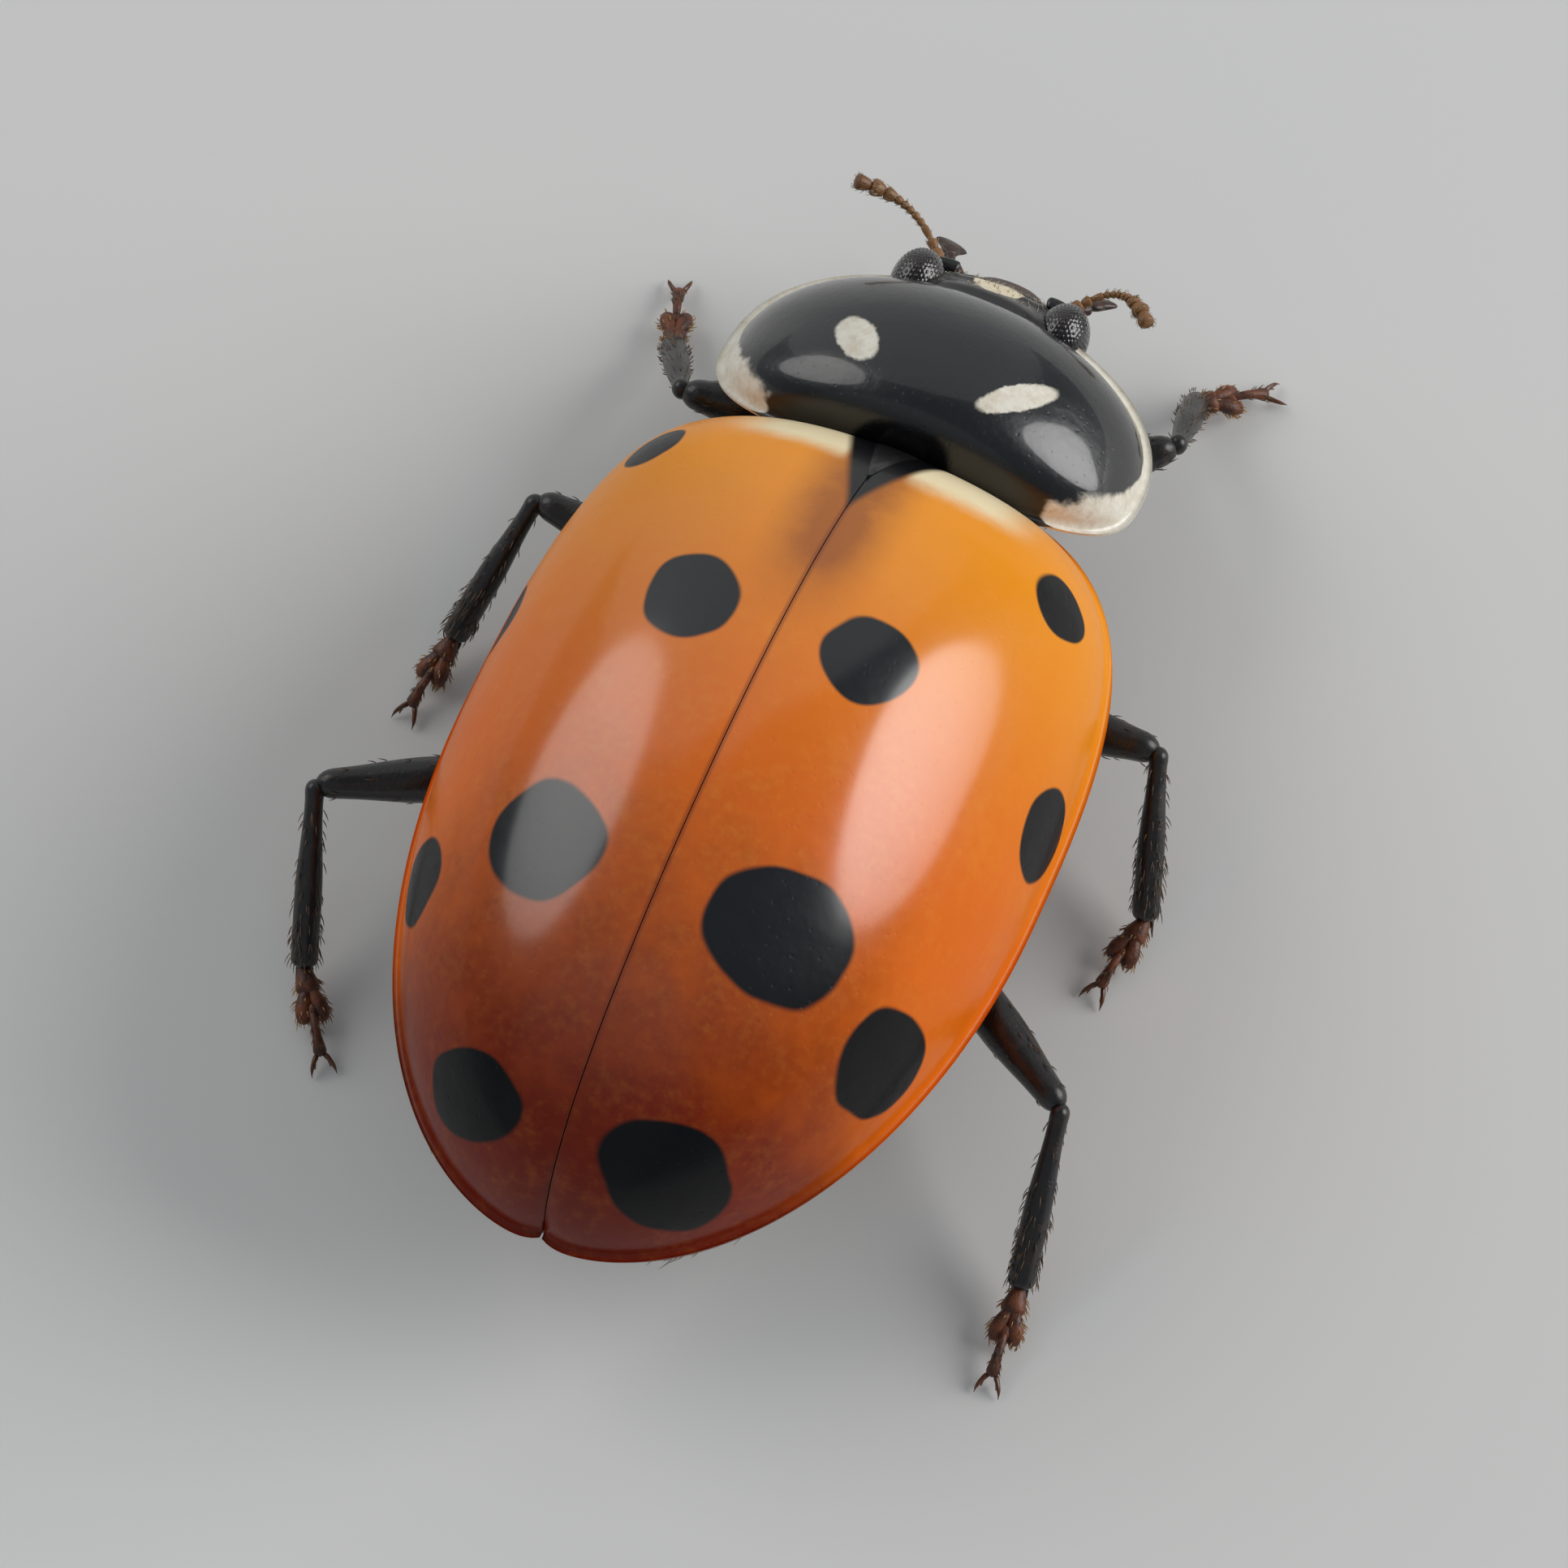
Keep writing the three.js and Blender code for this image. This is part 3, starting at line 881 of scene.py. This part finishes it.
def limb_skin(path, widths, depths, up, caps=(1.0, 1.0)):
    """The skin of a limb along a path, wide across and deep toward `up`, by share and turn."""
    path = [Vector(point) for point in path]
    length = sum((along_path(path, (i + 1) / 16) - along_path(path, i / 16)).length for i in range(16))

    def skin(share, turn):
        share = within(share)
        run = along_path(path, min(1, share + 0.01)) - along_path(path, max(0, share - 0.01))
        sideways = run.cross(Vector(up)).normalized()
        upward = sideways.cross(run).normalized()
        first_cap = min(1, share * length / (eased(depths, 0) * caps[0]))
        last_cap = min(1, (1 - share) * length / (eased(depths, 1) * caps[1]))
        closing = arc(1 - first_cap) * arc(1 - last_cap)
        across = sideways * math.cos(turn) * eased(widths, share)
        rise = upward * math.sin(turn) * eased(depths, share)
        return along_path(path, share) + (across + rise) * closing

    return skin


def drawn_out(mesh, path, widths, depths=None, around=16, along=24, caps=(1.0, 1.0), up=skyward):
    """A ball drawn out along a path into a closed limb, round where no depths are given."""
    skin = limb_skin(path, widths, depths or widths, up, caps)
    made = bmesh.ops.create_uvsphere(mesh, u_segments=around, v_segments=along, radius=1, matrix=upright)
    for corner in made["verts"]:
        corner.co = skin((1 + corner.co.y) / 2, math.atan2(corner.co.z, corner.co.x))
    return skin


def reach(start, length, heading, side, height):
    """The far end of a limb of this length that leaves start on this heading and ends this high."""
    level = math.sqrt(length ** 2 - (height - start.z) ** 2)
    turn = math.radians(heading)
    return Vector((start.x + side * level * math.cos(turn), start.y - level * math.sin(turn), height))


leg_black, leg_shader, place = new_finish("black_leg", 0.3, 0.15)
grain = place.noise(12.0, 4.0, 0.6)
lay(leg_shader, "Base Color", grain.step(0.45, 0.8).blend(paint(12, 10, 10), paint(46, 30, 20)))
lay(leg_shader, "Normal", scaly(place, grain.bump(0.3, 0.01), 34.0, 0.4, 0.004))
lay(leg_shader, "Roughness", 0.3 + place.noise(40.0, 2.0, 0.5) * 0.25)

foot_brown = grained(
    "brown_foot", 14.0, (paint(58, 30, 18), paint(124, 66, 34)), (0.38, 0.2), (0.3, 0.75),
    bump=(0.3, 0.008), scales=(40.0, 0.4, 0.004),
)

claw_horn, claw_shader, place = new_finish("claw_horn")
grain = place.noise(26.0, 3.0, 0.5)
lay(claw_shader, "Base Color", grain.blend(paint(66, 34, 16), paint(110, 62, 30)))
lay(claw_shader, "Roughness", 0.2 + grain * 0.15)
lay(claw_shader, "Normal", grain.bump(0.2, 0.003))

sole_gold = hair_finish("golden_sole_hair", 16.0, paint(206, 166, 104), paint(142, 98, 54), 0.4)
dark_bristle = hair_finish("dark_bristle", 16.0, paint(60, 44, 32), paint(122, 96, 66), 0.36)

all_round = (-math.pi, math.pi)  # every turn
for leg_name, (thigh_heading, shin_heading, foot_heading) in headings.items():
    pair, side_name = leg_name.split("_")
    side = 1 if side_name == "left" else -1
    thigh_length, shin_length, foot_length = lengths[pair]
    hip = Vector((side * hips[pair][0], hips[pair][1], hip_height))
    knee = reach(hip, thigh_length, thigh_heading, side, knee_height)
    ankle = reach(knee, shin_length, shin_heading, side, ankle_height)
    toe = reach(ankle, foot_length, foot_heading, side, toe_height)

    thigh = bmesh.new()
    hip_root = Vector((hip.x * 0.62, hip.y - 0.04, hip.z + 0.12))
    drawn_out(
        thigh, (hip_root, hip.lerp(knee, 0.02)), ((0, 0.24), (0.6, 0.22), (1, 0.13)),
        ((0, 0.2), (0.6, 0.18), (1, 0.12)), 20, 16,
    )
    drawn_out(
        thigh, (hip.lerp(knee, -0.02), hip.lerp(knee, 0.18)), ((0, 0.11), (0.5, 0.12), (1, 0.09)),
        ((0, 0.11), (0.5, 0.115), (1, 0.09)), 16, 12,
    )
    bulge = hip.lerp(knee, 0.5) + Vector((0, 0, 0.05))
    thigh_skin = drawn_out(
        thigh, (hip.lerp(knee, 0.1), bulge, knee), ((0, 0.07), (0.35, 0.13), (0.65, 0.125), (1, 0.08)),
        ((0, 0.08), (0.35, 0.16), (0.6, 0.155), (0.9, 0.1), (1, 0.09)), 24, 40,
    )
    set_in_place(thigh, f"thigh_{leg_name}", leg_black, [f"femur_{leg_name}"])

    shin = bmesh.new()
    run = (ankle - knee).normalized()
    bow = knee.lerp(ankle, 0.5) + (skyward - run * run.z) * 0.035
    shin_skin = drawn_out(
        shin, (knee - run * 0.03, bow, ankle), ((0, 0.06), (0.12, 0.052), (0.6, 0.078), (1, 0.078)),
        ((0, 0.07), (0.12, 0.055), (0.5, 0.08), (0.85, 0.092), (1, 0.085)), 20, 36, (1.0, 0.6),
    )
    sideways = run.cross(skyward).normalized()
    for spur_side in (1, -1):
        root = ankle - run * 0.03 + sideways * spur_side * 0.035 - skyward * 0.04
        tip = root + run * 0.1 - skyward * 0.03 + sideways * spur_side * 0.012
        drawn_out(shin, (root, tip), ((0, 0.014), (1, 0.003)), around=8, along=8)
    set_in_place(shin, f"shin_{leg_name}", leg_black, [f"tibia_{leg_name}"])

    foot = bmesh.new()
    run = toe - ankle
    sideways = run.cross(skyward).normalized()
    sole_skins = [drawn_out(
        foot, (ankle - run * 0.06, ankle + run * 0.36), ((0, 0.036), (0.8, 0.07), (1, 0.062)),
        ((0, 0.044), (0.7, 0.054), (1, 0.04)), 18, 16,
    )]
    for lobe_side in (1, -1):
        lobe = [
            ankle + run * share + sideways * lobe_side * out - skyward * drop
            for share, out, drop in ((0.24, 0.008, 0.0), (0.48, 0.05, 0.0), (0.68, 0.055, 0.035))
        ]
        sole_skins.append(drawn_out(
            foot, lobe, ((0, 0.03), (0.6, 0.05), (1, 0.036)), ((0, 0.034), (0.6, 0.044), (1, 0.026)),
            16, 16,
        ))
    small_piece = (ankle + run * 0.46, ankle + run * 0.66)
    drawn_out(foot, small_piece, ((0, 0.03), (1, 0.034)), ((0, 0.03), (1, 0.03)), 14, 10)
    last_root = ankle + run * 0.58 + skyward * 0.01
    last_end = ankle + run * 1.12 - skyward * 0.02
    arch = last_root.lerp(last_end, 0.5) + skyward * 0.05
    last_skin = drawn_out(
        foot, (last_root, arch, last_end), ((0, 0.022), (0.5, 0.026), (1, 0.042)),
        ((0, 0.022), (0.5, 0.028), (1, 0.036)), 14, 18,
    )
    set_in_place(foot, f"foot_{leg_name}", foot_brown, [f"tarsus_{leg_name}"])

    claws = bmesh.new()
    run = run.normalized()
    sideways = run.cross(skyward).normalized()
    for claw_side in (1, -1):
        root = last_end - run * 0.015 + sideways * claw_side * 0.018
        out = root + run * 0.07 + sideways * claw_side * 0.05 + skyward * 0.012
        tip = root + run * 0.115 + sideways * claw_side * 0.052
        tip.z = 0.012
        drawn_out(
            claws, (root, out, tip), ((0, 0.017), (0.5, 0.012), (1, 0.002)),
            ((0, 0.02), (0.5, 0.014), (1, 0.002)), 10, 16,
        )
        tooth_root = along_path((root, out, tip), 0.3)
        tooth_tip = tooth_root + run * 0.03 - skyward * 0.035
        drawn_out(claws, (tooth_root, tooth_tip), ((0, 0.013), (1, 0.004)), ((0, 0.014), (1, 0.004)), 8, 8)
    set_in_place(claws, f"claws_{leg_name}", claw_horn, [])

    leg_hairs = hair_mesh()
    hairs_on(leg_hairs, thigh_skin, 60, all_round, (0.15, 0.95), 0.06, 0.02, 0.5)
    hairs_on(leg_hairs, shin_skin, 60, all_round, (0.08, 0.95), 0.075, 0.35, 0.6)
    hairs_on(leg_hairs, shin_skin, 60, all_round, (0.6, 0.97), 0.08, 0.35, 0.5)
    hairs_on(leg_hairs, last_skin, 16, all_round, (0.3, 0.9), 0.045, 0.68, 0.6)
    set_hairs_in_place(leg_hairs, f"leg_hairs_{leg_name}", dark_bristle)

    sole_hairs = hair_mesh()
    for sole_skin, column in zip(sole_skins, (0.02, 0.35, 0.68)):
        hairs_on(sole_hairs, sole_skin, 44, below, (0.35, 0.97), 0.055, column, 0.9)
        hairs_on(sole_hairs, sole_skin, 14, all_round, (0.2, 0.95), 0.04, column, 0.7)
    set_hairs_in_place(sole_hairs, f"sole_hairs_{leg_name}", sole_gold)

# ---------------------------------------------------------------- head
# A short flat capsule of black chitin, tilted face down and drawn back under the shield, with a
# cream mark on the brow. The face narrows to a straight front edge that carries the upper lip.
head_centre = (0, -1.14, 0.95)
head_tilt = 0.45
head_turn = Matrix.Translation(head_centre) @ Matrix.Rotation(head_tilt, 4, "X")
capsule_front = -0.43
capsule_rear = 0.36
capsule_widths = ((0, 0.27), (0.10, 0.31), (0.28, 0.40), (0.5, 0.47), (0.75, 0.49), (1, 0.42))
capsule_tops = ((0, 0.05), (0.12, 0.10), (0.35, 0.225), (0.6, 0.31), (0.85, 0.32), (1, 0.26))
capsule_floors = ((0, 0.05), (0.12, 0.09), (0.4, 0.18), (0.75, 0.24), (1, 0.2))


def capsule_point(share, turn):
    """A point of the capsule before it is tilted, from its front edge at share 0."""
    length = capsule_rear - capsule_front
    front_cap = min(1, share * length / 0.05)
    rear_cap = min(1, (1 - share) * length / 0.16)
    closing = arc(1 - front_cap) * arc(1 - rear_cap)
    out = eased(capsule_widths, share) * closing * rounded(math.cos(turn), 2 / 2.3)
    thick = eased(capsule_tops if turn > 0 else capsule_floors, share)
    rise = thick * closing * rounded(math.sin(turn), 2 / 2.15)
    along = capsule_front + share * length
    if turn > 0:
        brow_groove = 0.016 * hump(share - 0.205, 0.022)
        side_ridge = 0.022 * hump(abs(out) - 0.27, 0.03) * hump(share - 0.3, 0.12)
        rise += side_ridge - brow_groove
    lip_curve = 0.03 * (1 - (out / 0.25) ** 2) * max(0, 1 - share / 0.12)
    return Vector((out, along + lip_curve, rise))


eye_radii = Vector((0.155, 0.205, 0.215))
eye_turn = Matrix.Rotation(0.35, 4, "X")
eye_centre = Vector((0.445, -1.255, 1.0))


def head_skin(share, turn):
    """The capsule in its place, with a low collar raised round each eye."""
    share = within(share)
    spot = head_turn @ capsule_point(share, turn)
    centre = Vector((math.copysign(eye_centre.x, spot.x), eye_centre.y, eye_centre.z))
    from_eye = eye_turn.inverted() @ (spot - centre)
    distance = Vector(a / b for a, b in zip(from_eye, eye_radii)).length
    collar = 0.02 * hump(distance - 1.05, 0.09)
    outward = spot - head_turn @ Vector((0, capsule_front + share * (capsule_rear - capsule_front), 0))
    return spot + outward.normalized() * collar


def ring(mesh, centre, axis, radius, thick):
    """A round raised rim, such as the socket that a feeler sits in."""
    axis = axis.normalized()
    side_way = axis.orthogonal().normalized()
    facing = axis.cross(side_way).to_track_quat("Z", "Y").to_matrix().to_4x4()
    section = Matrix.Translation(centre + side_way * radius) @ facing
    circle = bmesh.ops.create_circle(mesh, segments=10, radius=thick, matrix=section)["verts"]
    circle += list({edge for corner in circle for edge in corner.link_edges})
    bmesh.ops.spin(mesh, geom=circle, cent=centre, axis=axis, angle=math.tau, steps=24, use_merge=True)


def to_side(side, *points):
    """Points given for the left side, for this side."""
    return [Vector((side * out, along, up)) for out, along, up in points]


# Where the feelers leave the face, and how they bend.
feeler_paths = {
    "left": to_side(1, (0.37, -1.43, 0.88), (0.62, -1.84, 0.86), (1.02, -1.70, 1.04)),
    "right": to_side(-1, (0.37, -1.43, 0.88), (0.60, -1.86, 0.92), (0.86, -1.52, 1.02)),
}
capsule = plate_ball(head_skin, 144, 120)
for feeler_path in feeler_paths.values():
    ring(capsule, feeler_path[0], feeler_path[1] - feeler_path[0], 0.05, 0.016)
for side in (1, -1):
    ridge = to_side(side, (0.27, -1.455, 0.955), (0.38, -1.475, 0.965), (0.475, -1.425, 0.965))
    drawn_out(capsule, ridge, ((0, 0.04), (1, 0.022)), ((0, 0.02), (1, 0.012)), 14, 16)
bmesh.ops.recalc_face_normals(capsule, faces=capsule.faces)

face_finish, face_shader, place = new_finish("black_face_cream_brow", 0.35, 0.12)
out_body = place.vector("ABSOLUTE").part("X")
along = place.part("Y")
height = place.part("Z")
grain = place.noise(16.0, 4.0, 0.6)
brow_along = (along + 1.385 + (grain - 0.5) * 0.05) / 0.105
brow_out = (out_body + (grain - 0.5) * 0.06) / (0.15 - brow_along * 0.035)
brow = (brow_along * brow_along + brow_out * brow_out).step(1.15, 0.85) * height.step(0.8, 0.86)
front_edge = along.step(-1.50, -1.545) * height.step(0.66, 0.72)
black = grain.step(0.3, 0.8).blend(paint(8, 8, 10), paint(30, 24, 21))
cream = grain.blend(paint(240, 230, 204), paint(216, 196, 158))
face = (front_edge * 0.75).blend(black, paint(116, 66, 34))
lay(face_shader, "Base Color", brow.blend(face, cream))
face_pits = place.cells(26.0).step(0.26, 0.08)
lay(face_shader, "Normal", (1 - face_pits).bump(0.4, 0.005, grain.bump(0.35, 0.008)))
lay(face_shader, "Roughness", 0.27 + grain * 0.2 + face_pits * 0.1)
set_in_place(capsule, "head_capsule", face_finish, ["head"], crease=50)


def face_skin(share, turn):
    """The head's skin from its rear, so that the hairs lie toward the mouth."""
    return head_skin(1 - share, turn)


above = (0.25, math.pi - 0.25)  # the turns that face up
face_hairs = hair_mesh()
hairs_on(face_hairs, face_skin, 150, above, (0.45, 0.97), 0.045, 0.02, 0.6, 0.0024)
hairs_on(face_hairs, face_skin, 60, below, (0.2, 0.9), 0.05, 0.35, 0.6, 0.0024)
set_hairs_in_place(face_hairs, "face_hairs", pale_hair)

# ---------------------------------------------------------------- eyes
# Two large compound eyes on the sides of the head: hundreds of black lenses in a honeycomb on a
# domed eye. A ridge of the face reaches into the front of each.
lenses = bmesh.new()
bmesh.ops.create_icosphere(lenses, subdivisions=4, radius=1)
lens_tree = KDTree(len(lenses.verts))
for corner in lenses.verts:
    lens_tree.insert(corner.co, corner.index)
lens_tree.balance()
lens_gap = 1.95 / math.sqrt(len(lenses.verts))  # about half the way to the next lens
lenses.free()

eye_black, eye_shader, place = new_finish("eye_lenses", 0.8, 0.05)
depth_tone = place.noise(5.0, 2.0, 0.5)
lay(eye_shader, "Base Color", depth_tone.step(0.35, 0.7).blend(paint(6, 5, 7), paint(30, 16, 14)))
lay(eye_shader, "Roughness", 0.12 + depth_tone * 0.12)
lay(eye_shader, "Normal", place.noise(90.0, 2.0).bump(0.1, 0.001))

for side, side_name in ((1, "left"), (-1, "right")):
    eye = bmesh.new()
    bmesh.ops.create_icosphere(eye, subdivisions=6, radius=1)
    for corner in eye.verts:
        off_lens = min(1, lens_tree.find(corner.co)[2] / lens_gap)
        swelling = 0.030 * arc(off_lens)
        notch = 0.16 * hump((corner.co - Vector((0.12 * side, -0.97, -0.2))).length, 0.3)
        corner.co *= 0.97 + swelling - notch
        corner.co = Vector(a * b for a, b in zip(corner.co, eye_radii))
    bmesh.ops.transform(eye, matrix=eye_turn, verts=eye.verts)
    bmesh.ops.translate(eye, vec=(eye_centre.x * side, eye_centre.y, eye_centre.z), verts=eye.verts)
    set_in_place(eye, f"compound_eye_{side_name}", eye_black, [f"eye_{side_name}"], crease=180)

# ---------------------------------------------------------------- feelers
# Two short feelers of eleven beads each: a thick root bead, a chain of slim ones and a club of
# three, tan with a darker club, that sit in round sockets in front of the eyes.
feeler_tan, feeler_shader, place = new_finish("tan_feeler")
grain = place.noise(24.0, 3.0, 0.6)
far_out = place.vector("ABSOLUTE").part("X")
tan = grain.blend(paint(158, 112, 66), paint(104, 68, 40))
lay(feeler_shader, "Base Color", (far_out.step(0.88, 1.0) * 0.6).blend(tan, paint(92, 56, 32)))
lay(feeler_shader, "Roughness", 0.34 + grain * 0.2)
lay(feeler_shader, "Normal", scaly(place, None, 50.0, 0.3, 0.003))

bead_ends = (0, 0.17, 0.25, 0.37, 0.435, 0.5, 0.56, 0.62, 0.68, 0.78, 0.89, 1.0)
bead_sizes = (0.042, 0.032, 0.023, 0.023, 0.023, 0.024, 0.026, 0.029, 0.041, 0.052, 0.047)
for side_name, feeler_path in feeler_paths.items():
    feeler = bmesh.new()
    feeler_hairs = hair_mesh()
    for start, end, radius in zip(bead_ends, bead_ends[1:], bead_sizes):
        bead = (along_path(feeler_path, start - 0.006), along_path(feeler_path, end))
        bead_profile = ((0, radius * 0.72), (0.7, radius), (1, radius * 0.95))
        bead_skin = drawn_out(feeler, bead, bead_profile, along=14, caps=(0.5, 0.4))
        count = 26 if radius > 0.04 and start > 0.5 else 7  # more on the club
        column = 0.02 + 0.6 * start
        hairs_on(feeler_hairs, bead_skin, count, all_round, (0.3, 0.95), 0.03, column, 0.7, 0.002)
    set_in_place(feeler, f"feeler_{side_name}", feeler_tan, [f"antenna_{side_name}"])
    set_hairs_in_place(feeler_hairs, f"feeler_hairs_{side_name}", pale_hair)

# ---------------------------------------------------------------- mouthparts
# Under the face: a brown upper lip, two hooked jaws with a cheek piece each, a tongue, a lower lip
# with two small palps, and the two large palps whose last piece is shaped like an axe blade.
mouth_brown = grained(
    "brown_mouth", 20.0, (paint(38, 24, 18), paint(74, 44, 27)), (0.3, 0.2), (0.3, 0.75),
    bump=(0.3, 0.006), scales=(44.0, 0.35, 0.003), coat=0.2,
)


def on_head(side, *points):
    """Points measured from the middle of the head, tilted with it."""
    return [head_turn @ point for point in to_side(side, *points)]


def bead_chain(mesh, joints, radii, root, widest, tip, around):
    """Round beads from joint to joint, thickest at the share widest, thinner at root and tip."""
    for start, end, radius in zip(joints, joints[1:], radii):
        profile = ((0, radius * root), (widest, radius), (1, radius * tip))
        drawn_out(mesh, (start, end), profile, around=around, along=around)


mouth = bmesh.new()
lip_path = on_head(1, (0, -0.33, 0.0), (0, -0.55, -0.05))
drawn_out(mouth, lip_path, ((0, 0.19), (0.7, 0.185), (1, 0.14)), ((0, 0.05), (1, 0.03)), 40, 24)
for side in (1, -1):
    jaw_path = on_head(side, (0.18, -0.28, -0.10), (0.22, -0.58, -0.10), (0.01, -0.555, -0.115))
    drawn_out(
        mouth, jaw_path, ((0, 0.08), (0.6, 0.055), (1, 0.008)),
        ((0, 0.07), (0.6, 0.055), (1, 0.012)), 20, 28,
    )
    cheek_path = on_head(side, (0.2, -0.1, -0.2), (0.17, -0.42, -0.22))
    drawn_out(mouth, cheek_path, ((0, 0.08), (1, 0.055)), ((0, 0.07), (1, 0.05)), 20, 20)
    small_palp = on_head(
        side, (0.06, -0.44, -0.27), (0.085, -0.5, -0.31), (0.09, -0.56, -0.335), (0.085, -0.62, -0.35)
    )
    bead_chain(mouth, small_palp, (0.02, 0.024, 0.019), 0.7, 0.6, 0.6, 12)
tongue_path = on_head(1, (0, -0.16, -0.12), (0, -0.47, -0.13))
drawn_out(mouth, tongue_path, ((0, 0.17), (1, 0.12)), ((0, 0.07), (1, 0.045)), 28, 20)
chin_path = on_head(1, (0, -0.05, -0.22), (0, -0.50, -0.215))
drawn_out(mouth, chin_path, ((0, 0.16), (0.6, 0.14), (1, 0.1)), ((0, 0.08), (1, 0.05)), 28, 24)
set_in_place(mouth, "lips_and_jaws", mouth_brown, ["mouthparts"])

for side, side_name in ((1, "left"), (-1, "right")):
    palp = bmesh.new()
    *joints, blade_end = to_side(
        side, (0.22, -1.47, 0.66), (0.27, -1.54, 0.615), (0.40, -1.64, 0.60), (0.44, -1.71, 0.55),
        (0.47, -1.83, 0.44),
    )
    bead_chain(palp, joints, (0.03, 0.042, 0.038), 0.6, 0.7, 0.85, 16)
    blade = bmesh.new()
    blade_root = joints[-1]
    blade_side = Vector((0.9 * side, 0.2, 0.35))
    drawn_out(
        blade, (blade_root, blade_end), ((0, 0.022), (0.5, 0.034), (1, 0.026)),
        ((0, 0.03), (0.35, 0.055), (0.95, 0.1), (1, 0.1)), 28, 26, (1.0, 0.2), blade_side,
    )
    blade_run = (blade_end - blade_root).normalized()
    for corner in blade.verts:
        from_root = corner.co - blade_root
        corner.co += blade_run * from_root.dot(blade_side.normalized()) * from_root.dot(blade_run) * 1.4
    blade_data = bpy.data.meshes.new("blade")
    blade.to_mesh(blade_data)
    blade.free()
    palp.from_mesh(blade_data)
    set_in_place(palp, f"axe_palp_{side_name}", mouth_brown, [f"palp_{side_name}"])
